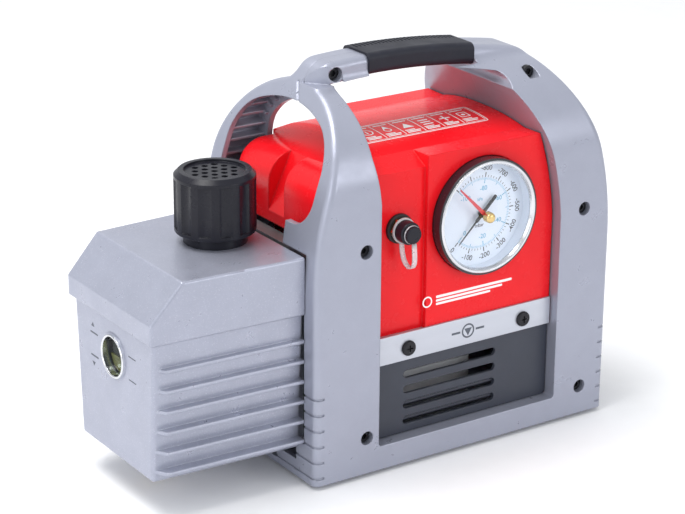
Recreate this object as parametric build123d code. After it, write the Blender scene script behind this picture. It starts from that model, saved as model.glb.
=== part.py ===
from build123d import *
import math
import os

# Portable two-stage rotary vane vacuum pump.
# Working axes, in millimetres: X runs from the frame's oil-casing end (X = 0) to its motor end,
# Y = 0 is the parting plane of the frame with the gauge side at -Y, and Z = 0 is the frame's underside.
# save() moves every piece so that the origin is the bottom centre of the whole pump.

# Frame
FRAME_LENGTH = 241.4
FRAME_HALF_DEPTH = 72.0
WALL = 4.0
LEAN_START = 130.0
LEAN_RADIUS = 221.0
SHOULDER_Z = 190.0
DOME_HEIGHT = 62.0
RIM_RADIUS = 5.0
LEG_DEPTH = 15.0
LEAN_FOOT_CORNER = 15.0
END_GAP_WIDTH = 104.0
END_GAP_HEIGHT = 112.0
END_GAP_Z = 76.0
CORNER_GROOVES = 6
GROOVE_PITCH = 11.2
FOOT_HEIGHT = 3.0
FOOT_RADIUS = 8.0
FOOT_STEM_RADIUS = 3.0

# Handle
HANDLE_HALF_WIDTH = 14.0
HANDLE_PEAK_X = 88.0
HANDLE_TOP = 265.5
HANDLE_TOP_RADIUS = 560.0
HANDLE_UNDERSIDE = 252.5
HANDLE_UNDERSIDE_RADIUS = 510.0
GRIP_START = 78.0
GRIP_END = 163.0
GRIP_DEPTH = 2.5
GRIP_PROUD = 1.5
GRIP_CORNER = 4.5
GRIP_RIBS = 27
HANDLE_FLARE = 8.0

# Curved step between the handle's casing end and the front leg, as (x, y) seen from above
STEP_WALL = [(32.0, 6.0), (37.5, 0.2), (42.0, -6.5), (48.0, -12.4), (58.0, -14.05)]
STEP_LEDGE_Z = 250.4
STEP_GROOVE_RADIUS = 1.3

# Window in the front and rear faces
WINDOW_LEFT = 50.0
WINDOW_RIGHT = 197.0
WINDOW_LOW_CORNER = 2.5
WINDOW_SILL = 16.9
WINDOW_KNEE = (171.5, 236.5)
WINDOW_LEAN_FOOT = 150.0

# Arch in the casing end
ARCH_HALF_WIDTH = 56.2
ARCH_SILL = 172.0
ARCH_TOP = 240.5
ARCH_CROWN_RADIUS = 100.0
ARCH_LOW_CORNER = 19.0
ARCH_HIGH_CORNER = 32.0
CASING_GAP_HALF_WIDTH = 58.5
CASING_GAP_TOP = 157.0
SILL_GAP_HALF_WIDTH = 30.5

# Frame screws, as (x, z) on the front face
FRAME_SCREWS = [(38.8, 155.7), (40.6, 25.5), (217.2, 151.7), (219.6, 20.3), (53.1, 256.6), (194.1, 242.4)]
SCREW_HEAD_RADIUS = 4.2
SCREW_HEAD_HEIGHT = 3.0
SCREW_SEAT_RADIUS = 4.8
SCREW_RADIUS = 2.0
SCREW_BOSS_RADIUS = 4.6
SCREW_COLLAR_RADIUS = 6.6
SCREW_COLLAR_DEPTH = 14.0
SCREW_RECESS = 7.0

# Motor cover, label strip and vent panels
COVER_WALL = 3.0
COVER_BLOCK_Y = 63.5
COVER_FACE_Y = 60.0
COVER_BLOCK_LEFT = 92.0
COVER_RIGHT = 200.0
COVER_CROWN_Z = 208.2
COVER_CROWN_HALF_WIDTH = 46.0
COVER_BOTTOM = 70.5
COVER_RIM_Z = 208.6
COVER_FACE_RIM_Z = 200.5
COVER_CROWN_RISE = 0.8
COVER_TOP = 214.0
LOBE_TOP = 203.0
LOBE_LEFT = 16.2
LOBE_RIGHT = 70.0
LOBE_HALF_WIDTH = 55.5
LOBE_ROLL = 20.0
LOBE_EDGE = 12.0
LOBE_GROOVE_HALF_WIDTH = 9.5
LOBE_GROOVE_Z = 165.0
LOBE_GROOVE_END = 34.0
SLOPE_LEFT = 34.0
SLOPE_RUN = 28.0
SLOPE_RADIUS = 111.0
COVER_LOW_EDGE = 157.5
STRIP_LEFT = 51.2
STRIP_RIGHT = 195.9
STRIP_BOTTOM = 70.8
STRIP_TOP = 90.1
STRIP_THICK = 1.6
STRIP_SCREWS = [77.4, 172.4]
STRIP_SCREW_Z = 79.0
STRIP_SCREW_HEAD = 5.3
VENT_PITCH = 11.1
VENT_TOP_Z = 59.1
VENT_LEFT = 75.7
VENT_RIGHT = 151.9
VENT_HEIGHT = 5.8

# Gauge
GAUGE_X = 136.3
GAUGE_Z = 160.7
GAUGE_RADIUS = 40.0
GAUGE_FRONT_Y = -71.2
GAUGE_BACK_Y = -44.0
GAUGE_BORE_RADIUS = 36.8
DIAL_RADIUS = 36.7
BEZEL_RADIUS = 38.6
BEZEL_BACK_Y = -70.6
BEZEL_FRONT_Y = -72.1
BEZEL_INNER_RADIUS = 35.4
KNOB_RADIUS = 3.6
KNOB_FRONT_Y = -75.2
DIAL_Y = -61.0
NEEDLE_Y = -63.4
POINTER_Y = -68.4
WINDOW_Y = -69.3
NEEDLE_REST_DEG = 225.0
POINTER_REST_DEG = 135.0

# Inlet
INLET_X = 71.6
INLET_Z = 162.3
INLET_BLOCK_Y = -30.0
SUCTION_PORT_Z = 128.0
INLET_THREAD_RADIUS = 5.5
INLET_BORE_RADIUS = 2.4
INLET_SHANK_RADIUS = 7.0
GROMMET_RADIUS = 10.0
GROMMET_HOLE = 8.4
FLARE_TIP_Y = -73.0
CAP_SKIRT_RADIUS = 7.6
CAP_SKIRT_Y = -66.6
CAP_STEP_Y = -74.2
CAP_TIP_Y = -78.2
CAP_TIP_RADIUS = 5.8
STRAP_THICK = 1.2
STRAP_REAR_Y = -65.2
STRAP_FRONT_Y = -76.2
STRAP_DROP = 25.4
STRAP_HALF_WIDTH = 1.6

# Oil casing
CASING_LEFT = -106.2
CASING_RIGHT = -0.4
CASING_BOTTOM = 21.5
LID_BOTTOM = 116.8
LID_LEFT = -109.5
LID_TOP = 156.1
CASING_GROWTH = 4.9
BODY_HALF_BOTTOM = 46.9
BODY_HALF_TOP = 51.75
LID_OVERHANG = 3.3
LID_BEVEL_RUN = 22.7
LID_BEVEL_Z = 131.2
FIN_HALF_WIDTH = 54.85
FIN_TOP_Z = 101.4
FIN_PITCH = 14.0
FIN_COUNT = 6
FIN_THICK = 2.6
FIN_START = 1.0
FIN_END_RUN = 6.0
CASING_WALL = 4.5
CASING_BOLT_Y = 42.5
CASING_BOLT_Z = [34.0, 144.0]
NECK_END = 5.0
SIGHT_Z = 92.0
SIGHT_BOSS_RADIUS = 15.8
SIGHT_RING_RADIUS = 14.6
SIGHT_LENS_RADIUS = 13.4
SIGHT_HOLE_RADIUS = 12.9

# Exhaust and filler cap
CAP_X = -30.0
CAP_RADIUS = 26.5
CAP_TOP = 204.0
CAP_FLUTES = 12
CAP_FLUTE_RADIUS = 9.0
CAP_FLUTE_DEPTH = 1.5
CAP_HOLE_PITCH = 7.2
CAP_HOLE_RADIUS = 2.1
NECK_THREAD_RADIUS = 16.0
FILTER_RADIUS = 11.0
DRAIN_X = -84.0

# Pump module, on the shaft line Y = 0
SHAFT_Z = 80.0
FLANGE_LEFT = 6.0
FLANGE_THICK = 10.0
STAGE_ONE_LENGTH = 30.0
STAGE_TWO_LENGTH = 16.0
PLATE_THICK = 6.0
END_PLATE_THICK = 8.0
MODULE_RADIUS = 36.0
BORE_RADIUS = 24.0
ROTOR_RADIUS = 20.0
BORE_OFFSET = 3.96
SLOT_WIDTH = 5.1
VANE_THICK = 5.0
VANE_TIP = 23.5
SPACER_RADIUS = 2.3
JOURNAL_RADIUS = 10.0
RUNNING_GAP = 0.05

# Motor
MOTOR_RADIUS = 48.0
MOTOR_LEFT = 66.0
MOTOR_RIGHT = 150.0
SHIELD_THICK = 8.0
MOTOR_SHAFT_RADIUS = 7.5
FAN_LEFT = 164.0
FAN_RIGHT = 180.0
CORE_LEFT = 80.0
CORE_RIGHT = 128.0
CORE_BORE = 28.0
STATOR_SLOTS = 12
SLOT_CIRCLE = 34.0
COUPLING_LEFT = 24.0
COUPLING_RADIUS = 17.0
SPIDER_LEFT = 36.0
SPIDER_RIGHT = 42.0

# Places along the pump module
STAGE_ONE_LEFT = FLANGE_LEFT - STAGE_ONE_LENGTH
PLATE_LEFT = STAGE_ONE_LEFT - PLATE_THICK
STAGE_TWO_LEFT = PLATE_LEFT - STAGE_TWO_LENGTH
MODULE_LEFT = STAGE_TWO_LEFT - END_PLATE_THICK
BORE_Z = SHAFT_Z - BORE_OFFSET

os.makedirs("parts", exist_ok=True)

ORIGIN_X = (LID_LEFT + FRAME_LENGTH) / 2
ORIGIN_Y = (CAP_TIP_Y + FRAME_HALF_DEPTH) / 2


def save(name, shape):
    """Write one piece, moved so that the pump's bottom centre is the origin."""
    export_step(Pos(-ORIGIN_X, -ORIGIN_Y, FOOT_HEIGHT) * shape, f"parts/{name}.step")


def block(x0, x1, y0, y1, z0, z1):
    """Box between two opposite corners."""
    return Pos((x0 + x1) / 2, (y0 + y1) / 2, (z0 + z1) / 2) * Box(x1 - x0, y1 - y0, z1 - z0)


def patch(a0, a1, b0, b1):
    """Flat rectangle between two opposite corners, in sketch coordinates."""
    return Pos((a0 + a1) / 2, (b0 + b1) / 2) * Rectangle(a1 - a0, b1 - b0)


def rod_x(x0, x1, radius, y=0.0, z=SHAFT_Z):
    """Cylinder along X."""
    return Pos((x0 + x1) / 2, y, z) * Rot(0, 90, 0) * Cylinder(radius, x1 - x0)


def rod_y(y0, y1, radius, x, z):
    """Cylinder along Y."""
    return Pos(x, (y0 + y1) / 2, z) * Rot(90, 0, 0) * Cylinder(radius, y1 - y0)


def rod_z(z0, z1, radius, x, y):
    """Cylinder along Z."""
    return Pos(x, y, (z0 + z1) / 2) * Cylinder(radius, z1 - z0)


def tube_x(x0, x1, outer, inner, y=0.0, z=SHAFT_Z):
    """Hollow cylinder along X."""
    return rod_x(x0, x1, outer, y, z) - rod_x(x0 - 1, x1 + 1, inner, y, z)


def tube_y(y0, y1, outer, inner, x, z):
    """Hollow cylinder along Y."""
    return rod_y(y0, y1, outer, x, z) - rod_y(y0 - 1, y1 + 1, inner, x, z)


def rod_between(start, end, radius):
    """Cylinder from one point to another."""
    axis = Vector(*end) - Vector(*start)
    base = Plane(origin=start, z_dir=axis)
    return extrude(base * Circle(radius), amount=axis.length)


def turned(shape, degrees):
    """The shape turned about the shaft line."""
    return Pos(0, 0, SHAFT_Z) * Rot(degrees, 0, 0) * Pos(0, 0, -SHAFT_Z) * shape


def mirrored(shape):
    """The shape and its image across the frame's parting plane."""
    return shape + mirror(shape, about=Plane.XZ)


# ---------------------------------------------------------------- frame

def front_outline(inset=0.0):
    """The frame seen from the front: upright ends that lean in along an arc to the handle's top."""
    low = patch(inset, FRAME_LENGTH - inset, inset, LEAN_START)
    high = patch(inset, FRAME_LENGTH - inset, LEAN_START, HANDLE_TOP)
    high &= Pos(LEAN_RADIUS, LEAN_START) * Circle(LEAN_RADIUS - inset)
    high &= Pos(FRAME_LENGTH - LEAN_RADIUS, LEAN_START) * Circle(LEAN_RADIUS - inset)
    high &= Pos(HANDLE_PEAK_X, HANDLE_TOP - HANDLE_TOP_RADIUS) * Circle(HANDLE_TOP_RADIUS - inset)
    outline = low + high
    return fillet(outline.vertices().sort_by(Axis.Y)[-2:], LEAN_FOOT_CORNER)


def side_outline(inset=0.0, handle=False):
    """The frame seen from its end: straight sides under an elliptical dome."""
    half = FRAME_HALF_DEPTH - inset
    dome = Pos(0, SHOULDER_Z) * Ellipse(half, DOME_HEIGHT - inset)
    dome &= patch(-half, half, SHOULDER_Z, HANDLE_TOP)
    outline = patch(-half, half, inset, SHOULDER_Z) + dome
    if not handle:
        return outline
    outline += patch(-HANDLE_HALF_WIDTH, HANDLE_HALF_WIDTH, SHOULDER_Z, HANDLE_TOP)
    low = [v for v in outline.vertices() if v.Y < HANDLE_UNDERSIDE]
    return fillet([v for v in low if abs(abs(v.X) - HANDLE_HALF_WIDTH) < 0.1], HANDLE_FLARE)


def across(outline, reach=FRAME_HALF_DEPTH):
    """Extrude a front-view outline through the depth of the frame."""
    return extrude(Plane.XZ * outline, amount=reach, both=True)


def along(outline, x0=0.0, x1=FRAME_LENGTH):
    """Extrude an end-view outline along X."""
    return Pos(x0, 0, 0) * extrude(Plane.YZ * outline, amount=x1 - x0)


def handle_underside(x):
    return HANDLE_UNDERSIDE - (x - HANDLE_PEAK_X) ** 2 / (2 * HANDLE_UNDERSIDE_RADIUS)


def window_outline():
    """The opening in the frame's front and rear faces, up to the handle."""
    top_left = (WINDOW_LEFT - 3.0, handle_underside(WINDOW_LEFT - 3.0))
    top_right = (176.0, handle_underside(176.0))
    middle = (HANDLE_PEAK_X + 23.0, handle_underside(HANDLE_PEAK_X + 23.0))
    sides = [
        Polyline((WINDOW_RIGHT, WINDOW_LEAN_FOOT), (WINDOW_RIGHT, WINDOW_SILL), (WINDOW_LEFT, WINDOW_SILL),
                 (WINDOW_LEFT, 185.0), (WINDOW_LEFT - 3.5, 215.0), top_left),
        ThreePointArc(top_left, middle, top_right),
        Line(top_right, WINDOW_KNEE),
        ThreePointArc(WINDOW_KNEE, (187.0, 200.0), (WINDOW_RIGHT, WINDOW_LEAN_FOOT)),
    ]
    face = make_face(Curve() + sides)
    face = fillet(face.vertices().sort_by(Axis.Y)[:2], WINDOW_LOW_CORNER)
    return fillet(face.vertices().sort_by(Axis.Y)[-2:], 5.0)


def arch_outline():
    """The opening in the frame's casing end: an arch over the casing, and the casing's own gap."""
    arch = patch(-ARCH_HALF_WIDTH, ARCH_HALF_WIDTH, ARCH_SILL, ARCH_TOP)
    arch &= Pos(0, ARCH_TOP - ARCH_CROWN_RADIUS) * Circle(ARCH_CROWN_RADIUS)
    arch = fillet(arch.vertices().sort_by(Axis.Y)[:2], ARCH_LOW_CORNER)
    arch = fillet(arch.vertices().sort_by(Axis.Y)[-2:], ARCH_HIGH_CORNER)
    gap = patch(-CASING_GAP_HALF_WIDTH, CASING_GAP_HALF_WIDTH, 26.0, CASING_GAP_TOP)
    gap += patch(-49.0, 49.0, 12.0, 27.0) + patch(-25.0, 25.0, WALL, 13.0)
    return arch + gap + patch(-SILL_GAP_HALF_WIDTH, SILL_GAP_HALF_WIDTH, CASING_GAP_TOP - 1, ARCH_SILL + 1)


def leg_ribs():
    """Stiffening ribs inside the hollow leg beside the arch."""
    plates = Part()
    for step in range(1, 9):
        plate = block(WALL, WINDOW_LEFT - 4.0, 40.0, 80.0, -1.0, 1.0)
        plates += Pos(0, 0, SHOULDER_Z) * Rot(9.0 * step - 18.0, 0, 0) * plate
    channel = along(side_outline(WALL) - side_outline(WALL + 8.0), WALL, WINDOW_LEFT)
    return mirrored(plates & channel)


def frame_body():
    """Both halves of the frame as one hollow shell, before it is split at the parting plane."""
    outer = across(front_outline()) & along(side_outline(handle=True))
    rim = [e for e in outer.edges() if e.center().Z > 0.5
           and not (e.geom_type == GeomType.LINE and abs((e % 0.5).Z) < 0.5)]
    outer = fillet(rim, RIM_RADIUS)
    window = window_outline()
    collar = offset(window, WALL, kind=Kind.INTERSECTION) - window
    inner = across(front_outline(WALL)) & along(side_outline(WALL))
    leg_reach = FRAME_HALF_DEPTH - LEG_DEPTH
    legs = across(collar) & along(side_outline() - side_outline(LEG_DEPTH))
    legs -= block(0, FRAME_LENGTH, -leg_reach, leg_reach, 0, LEAN_START)
    bulkhead = across(collar) & block(120, FRAME_LENGTH, -80, 80, 100, 260)
    shell = outer - inner
    shell += (legs + bulkhead + leg_ribs()) & outer
    for x, z in FRAME_SCREWS:
        collar_end = SCREW_COLLAR_DEPTH - face_depth(z)
        boss = rod_y(-80, 80, SCREW_BOSS_RADIUS, x, z) + rod_y(-80, collar_end, SCREW_COLLAR_RADIUS, x, z)
        shell += boss & outer
    shell -= across(window)
    shell -= along(arch_outline(), -5, 40)
    end_gap = RectangleRounded(END_GAP_WIDTH, END_GAP_HEIGHT, 8.0)
    shell -= along(Pos(0, END_GAP_Z) * end_gap, FRAME_LENGTH - 10, FRAME_LENGTH + 5)
    return shell - shoulder_step() - grip_seat() - corner_grooves() - foot_holes()


def shoulder_step():
    """Curved step where the handle's front face turns in above the front leg, and the groove below it."""
    start = STEP_WALL[0]
    end = STEP_WALL[-1]
    edge = Polyline(end, (end[0], -22), (20, -22), (20, start[1]), start)
    plan = make_face(Curve() + [Spline(*STEP_WALL), edge])
    step = Pos(0, 0, STEP_LEDGE_Z) * extrude(plan, amount=30)
    return step + rod_between((35.6, 4.6, 251.5), (28.2, -6.8, 238.5), STEP_GROOVE_RADIUS)


def grip_seat():
    """The neck in the handle that the two grip halves fill."""
    bar = block(GRIP_START, GRIP_END, -20, 20, 240, 270)
    return bar - grip_core()


def handle_core():
    """Front view of the handle inside the grip."""
    top = Pos(HANDLE_PEAK_X, HANDLE_TOP - HANDLE_TOP_RADIUS) * Circle(HANDLE_TOP_RADIUS - GRIP_DEPTH)
    low = Pos(HANDLE_PEAK_X, HANDLE_UNDERSIDE - HANDLE_UNDERSIDE_RADIUS)
    low *= Circle(HANDLE_UNDERSIDE_RADIUS + GRIP_DEPTH)
    return (patch(GRIP_START, GRIP_END, 240, 270) & top) - low


def corner_grooves():
    """Six shallow grooves around each lower corner of the frame."""
    ring = RectangleRounded(FRAME_LENGTH + 4, 2 * FRAME_HALF_DEPTH + 4, RIM_RADIUS + 2)
    ring -= RectangleRounded(FRAME_LENGTH - 2, 2 * FRAME_HALF_DEPTH - 2, RIM_RADIUS - 1)
    groove = Pos(FRAME_LENGTH / 2, 0, 0) * extrude(ring, amount=1.6)
    groove -= block(7, FRAME_LENGTH - 7, -90, 90, -1, 3)
    grooves = Part()
    for step in range(CORNER_GROOVES):
        grooves += Pos(0, 0, 4.5 + GROOVE_PITCH * step) * groove
    return grooves


def foot_places():
    return [(x, y) for x in (12.0, FRAME_LENGTH - 12.0) for y in (-46.0, 46.0)]


def foot_holes():
    holes = Part()
    for x, y in foot_places():
        holes += rod_z(-1, WALL + 1, FOOT_STEM_RADIUS, x, y)
    return holes


def rubber_feet():
    feet = Part()
    for x, y in foot_places():
        feet += rod_z(-FOOT_HEIGHT, 0, FOOT_RADIUS, x, y) + rod_z(0, WALL, FOOT_STEM_RADIUS, x, y)
    return feet


def grip():
    """Rounded rubber sleeve around the handle, whole."""
    half_width = HANDLE_HALF_WIDTH + GRIP_PROUD
    top = Pos(HANDLE_PEAK_X, HANDLE_TOP - HANDLE_TOP_RADIUS) * Circle(HANDLE_TOP_RADIUS + GRIP_PROUD)
    low = Pos(HANDLE_PEAK_X, HANDLE_UNDERSIDE - HANDLE_UNDERSIDE_RADIUS)
    low *= Circle(HANDLE_UNDERSIDE_RADIUS)
    sleeve = across((patch(GRIP_START, GRIP_END, 240, 270) & top) - low, half_width)
    corners = [e for e in sleeve.edges() if abs(abs(e.center().Y) - half_width) < 0.1 and e.length > 50]
    return fillet(corners, GRIP_CORNER) - grip_core()


def grip_core():
    return across(handle_core(), HANDLE_HALF_WIDTH - GRIP_DEPTH)


def rear_grip():
    """Rear half of the grip, with fine ribs across its top."""
    half = grip() & block(0, FRAME_LENGTH, 0, 30, 230, 280)
    pitch = (GRIP_END - GRIP_START - 4.0) / GRIP_RIBS
    for step in range(GRIP_RIBS):
        x = GRIP_START + 2.0 + pitch * (step + 0.5)
        half -= block(x - 0.7, x + 0.7, 3.0, 13.0, grip_top(x) - 0.9, grip_top(x) + 2)
    return half


def grip_top(x):
    return HANDLE_TOP + GRIP_PROUD - (x - HANDLE_PEAK_X) ** 2 / (2 * HANDLE_TOP_RADIUS)


def face_depth(z):
    """Distance of the frame's front surface from the parting plane at height z."""
    if z > SHOULDER_Z + DOME_HEIGHT - 3:
        return HANDLE_HALF_WIDTH
    if z < SHOULDER_Z:
        return FRAME_HALF_DEPTH
    return FRAME_HALF_DEPTH * math.sqrt(1 - ((z - SHOULDER_Z) / DOME_HEIGHT) ** 2)


def screw_tail(head):
    """How far a frame screw reaches into the rear half."""
    return min(14.0, head + 3.0)


def screw_seats():
    """Stepped holes for the frame screws."""
    seats = Part()
    for x, z in FRAME_SCREWS:
        depth = face_depth(z)
        head = depth - SCREW_RECESS
        seats += rod_y(-head, screw_tail(head), SCREW_RADIUS, x, z)
        seats += rod_y(-depth - 4, -head, SCREW_SEAT_RADIUS, x, z)
    return seats


def frame_screws():
    screws = Part()
    for x, z in FRAME_SCREWS:
        head = face_depth(z) - SCREW_RECESS
        face = -head - SCREW_HEAD_HEIGHT
        screw = rod_y(face, -head, SCREW_HEAD_RADIUS, x, z)
        screw += rod_y(-head, screw_tail(head), SCREW_RADIUS, x, z)
        socket = Plane((x, face, z), x_dir=(1, 0, 0), z_dir=(0, 1, 0)) * RegularPolygon(2.4, 6)
        screws += screw - extrude(socket, amount=2.0)
    return screws


# ---------------------------------------------------------------- cover and panels

def cover_section(face_y, rim_z, inset=0.0):
    """End view of the motor cover: upright sides, sloping shoulders and a gently crowned top."""
    half = face_y - inset
    knee = COVER_CROWN_HALF_WIDTH - inset
    crown = COVER_CROWN_Z - inset
    top = COVER_TOP - inset
    flank = crown + COVER_CROWN_RISE * (top - crown)
    edge = Polyline((-knee, crown), (-half, rim_z - inset), (-half, COVER_BOTTOM), (half, COVER_BOTTOM),
                    (half, rim_z - inset), (knee, crown))
    arch = Spline((-knee, crown), (-knee / 2, flank), (0, top), (knee / 2, flank), (knee, crown))
    return make_face(Curve() + [edge, arch])


def cover_lobes(inset=0.0):
    """The two rounded lobes at the casing end of the cover, with a wedge-shaped groove between them."""
    half = LOBE_HALF_WIDTH - inset
    side_view = patch(LOBE_LEFT + inset, LOBE_RIGHT, COVER_LOW_EDGE, LOBE_TOP - inset)
    nose = side_view.vertices().sort_by(Axis.Y)[-2:].sort_by(Axis.X)[:1]
    lobes = across(fillet(nose, LOBE_ROLL - inset), half)
    edges = [e for e in lobes.edges() if abs(abs(e.center().Y) - half) < 0.1]
    edges = [e for e in edges if e.center().Z > COVER_LOW_EDGE + 5 and e.center().X < LOBE_RIGHT - 1]
    lobes = fillet(edges, LOBE_EDGE - inset)
    front = LOBE_LEFT - 10
    end = LOBE_GROOVE_END + inset
    high = LOBE_TOP + 9
    groove = Polygon((LOBE_LEFT + inset, LOBE_GROOVE_Z), (end, LOBE_TOP), (end, high), (front, high),
                     (front, LOBE_GROOVE_Z), align=None)
    return lobes - across(groove, LOBE_GROOVE_HALF_WIDTH + inset)


def cover_solid(inset=0.0):
    """The cover over the motor: a shallow front zone, the prouder gauge block and a sloping casing end."""
    bay = across(offset(window_outline(), -0.8, kind=Kind.INTERSECTION), 70)
    bay += block(SLOPE_LEFT - 4, WINDOW_LEFT + 4, -50, 50, LOBE_TOP - 6, 230)
    zone = along(cover_section(COVER_FACE_Y, COVER_FACE_RIM_Z, inset), SLOPE_LEFT - 4, COVER_RIGHT)
    raised = along(cover_section(COVER_BLOCK_Y, COVER_RIM_Z, inset), COVER_BLOCK_LEFT + inset, COVER_RIGHT)
    centre = SLOPE_LEFT + SLOPE_RADIUS
    rise = COVER_TOP + 1 - LOBE_TOP
    low_radius = SLOPE_RADIUS - inset
    slope = Pos(centre, 0, LOBE_TOP + rise / 2) * Cone(low_radius, low_radius - SLOPE_RUN, rise)
    slope += rod_z(LOBE_TOP - 6, LOBE_TOP, low_radius, centre, 0)
    slope += block(WINDOW_LEFT, COVER_RIGHT, -70, 70, COVER_BOTTOM, LOBE_TOP - 6)
    return (zone + raised) & bay & slope


def motor_cover():
    """Painted cover over the motor, open underneath, with holes for the gauge and the inlet."""
    inner_face = COVER_FACE_Y - COVER_WALL
    window = window_outline()
    rim = offset(window, 5, kind=Kind.INTERSECTION) - offset(window, -4, kind=Kind.INTERSECTION)
    hollow = cover_solid(COVER_WALL) & block(WINDOW_LEFT - 8, 300, -70, 70, 150, 230)
    hollow -= across(rim, 80) - block(0, WINDOW_LEFT + 8, -48, 48, LOBE_TOP - 6, 230)
    hollow += block(WINDOW_LEFT - 1, 189, -inner_face, inner_face, 60, COVER_LOW_EDGE)
    lobes = (cover_lobes() - cover_lobes(COVER_WALL)) & block(0, WINDOW_LEFT + 4.8, -60, 60, 100, 220)
    shell = cover_solid() - hollow + lobes
    shell -= block(WINDOW_LEFT - 1, 60, -40, 40, COVER_LOW_EDGE, 185)
    shell -= rod_y(-80, -50, GAUGE_RADIUS + 0.3, GAUGE_X, GAUGE_Z)
    shell -= rod_y(-80, -50, GROMMET_HOLE, INLET_X, INLET_Z)
    shell -= rod_y(-80, 80, SCREW_COLLAR_RADIUS + 0.6, *FRAME_SCREWS[0])
    for x in STRIP_SCREWS:
        shell -= rod_y(-80, -50, 2.0, x, STRIP_SCREW_Z)
    return shell


def label_strip():
    """Flat name strip across the bottom of the cover, left blank."""
    y = -COVER_BLOCK_Y
    strip = block(STRIP_LEFT, STRIP_RIGHT, y - STRIP_THICK, y, STRIP_BOTTOM, STRIP_TOP)
    strip += block(STRIP_LEFT, COVER_BLOCK_LEFT - 0.2, y, -COVER_FACE_Y, STRIP_BOTTOM + 1, STRIP_TOP - 1)
    for x in STRIP_SCREWS:
        strip -= rod_y(-80, -50, 2.0, x, STRIP_SCREW_Z)
    return strip


def label_strip_screws():
    screws = Part()
    face = -COVER_BLOCK_Y - STRIP_THICK
    for x in STRIP_SCREWS:
        head = rod_y(face - 2.2, face, STRIP_SCREW_HEAD, x, STRIP_SCREW_Z)
        rim = head.edges().sort_by(Axis.Y)[:1]
        screw = fillet(rim, 1.4) + rod_y(face, -52, 2.0, x, STRIP_SCREW_Z)
        for turn in (0, 90):
            slot = Pos(x, face - 2.0, STRIP_SCREW_Z) * Rot(0, turn, 0) * Box(5.0, 2.4, 1.0)
            screw -= slot
        screws += screw
    return screws


def vent_panel():
    """Dark panel under the cover, with four long slots and a louvre behind each of the lower two."""
    back = -COVER_FACE_Y
    front = back - 2.5
    panel = block(WINDOW_LEFT + 0.8, WINDOW_RIGHT - 0.8, front, back, WINDOW_SILL + 0.6, COVER_BOTTOM - 0.2)
    lower = [e for e in panel.edges().filter_by(Axis.Y) if e.center().Z < 30]
    panel = fillet(lower, WINDOW_LOW_CORNER)
    length = VENT_RIGHT - VENT_LEFT
    centre = (VENT_LEFT + VENT_RIGHT) / 2
    for step in range(4):
        z = VENT_TOP_Z - VENT_PITCH * step
        slot = Pos(centre, z) * SlotOverall(length, VENT_HEIGHT)
        panel -= across(slot, 80)
    for step in (2, 3):
        z = VENT_TOP_Z - VENT_PITCH * step
        louvre = Pos(centre, back, z + 0.5) * Rot(-40, 0, 0) * Box(length + 6, 12.0, 1.4)
        louvre &= block(0, FRAME_LENGTH, back, back + 8, 0, 80)
        panel += louvre
    return panel


def end_panel():
    """Dark grille in the motor end of the frame, with seats for the switch and the power inlet."""
    x1 = FRAME_LENGTH - WALL - 0.2
    x0 = x1 - 3.0
    panel = along(Pos(0, 76.0) * RectangleRounded(112.0, 120.0, 10.0), x0, x1)
    for step in range(6):
        slot = Pos(0, 32.0 + 9.5 * step) * SlotOverall(84.0, 4.6)
        panel -= along(slot, x0 - 1, x1 + 1)
    panel -= block(x0 - 1, x1 + 1, -36.2, -7.8, 101.8, 122.2)
    panel -= block(x0 - 1, x1 + 1, 9.8, 32.2, 101.8, 122.2)
    return panel


def rocker_switch():
    """Rocker of the power switch, standing pressed on its lower end."""
    x = FRAME_LENGTH - WALL
    rocker = Polygon((-6, -6.5), (0.6, -6.5), (1.6, 0), (3.6, 6.5), (-6, 6.5), align=None)
    rocker = extrude(Plane.XZ * rocker, amount=5.5, both=True)
    return Pos(x - 1.0, 21.0, 112.0) * rocker


def switch_housing():
    """Snap-in housing around the rocker."""
    x = FRAME_LENGTH - WALL - 0.2
    body = block(x - 24, x, 10.0, 32.0, 102.0, 122.0)
    body += block(x, x + 1.5, 8.5, 33.5, 100.5, 123.5)
    return body - block(x - 14, x + 3, 14.0, 28.0, 103.2, 120.8)


def power_inlet():
    """Appliance inlet: a flanged housing with a keyed cavity and three contact blades."""
    x = FRAME_LENGTH - WALL - 0.2
    body = block(x - 20, x, -36.0, -8.0, 102.0, 122.0)
    body += block(x, x + 1.8, -39.0, -5.0, 99.5, 124.5)
    cavity = Polygon((-12, -8), (12, -8), (12, 5), (9, 8), (-9, 8), (-12, 5), align=None)
    body -= along(Pos(-22.0, 112.0) * cavity, x - 16, x + 3)
    for y, z in ((-29.0, 111.0), (-15.0, 111.0), (-22.0, 115.0)):
        body += block(x - 16.5, x - 3, y - 1, y + 1, z - 1.5, z + 1.5)
    return body


# ---------------------------------------------------------------- gauge

def gauge_ring(y0, y1, outer, inner):
    return tube_y(y0, y1, outer, inner, GAUGE_X, GAUGE_Z)


def gauge_case():
    case = rod_y(GAUGE_FRONT_Y, GAUGE_BACK_Y, GAUGE_RADIUS, GAUGE_X, GAUGE_Z)
    case = fillet(case.edges().sort_by(Axis.Y)[:1], 0.4)
    case -= rod_y(GAUGE_FRONT_Y - 1, BEZEL_BACK_Y, BEZEL_RADIUS, GAUGE_X, GAUGE_Z)
    case -= rod_y(GAUGE_FRONT_Y - 1, GAUGE_BACK_Y - 2.5, GAUGE_BORE_RADIUS, GAUGE_X, GAUGE_Z)
    return case - rod_y(GAUGE_BACK_Y - 3, GAUGE_BACK_Y + 1, 7.1, GAUGE_X, GAUGE_Z)


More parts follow.
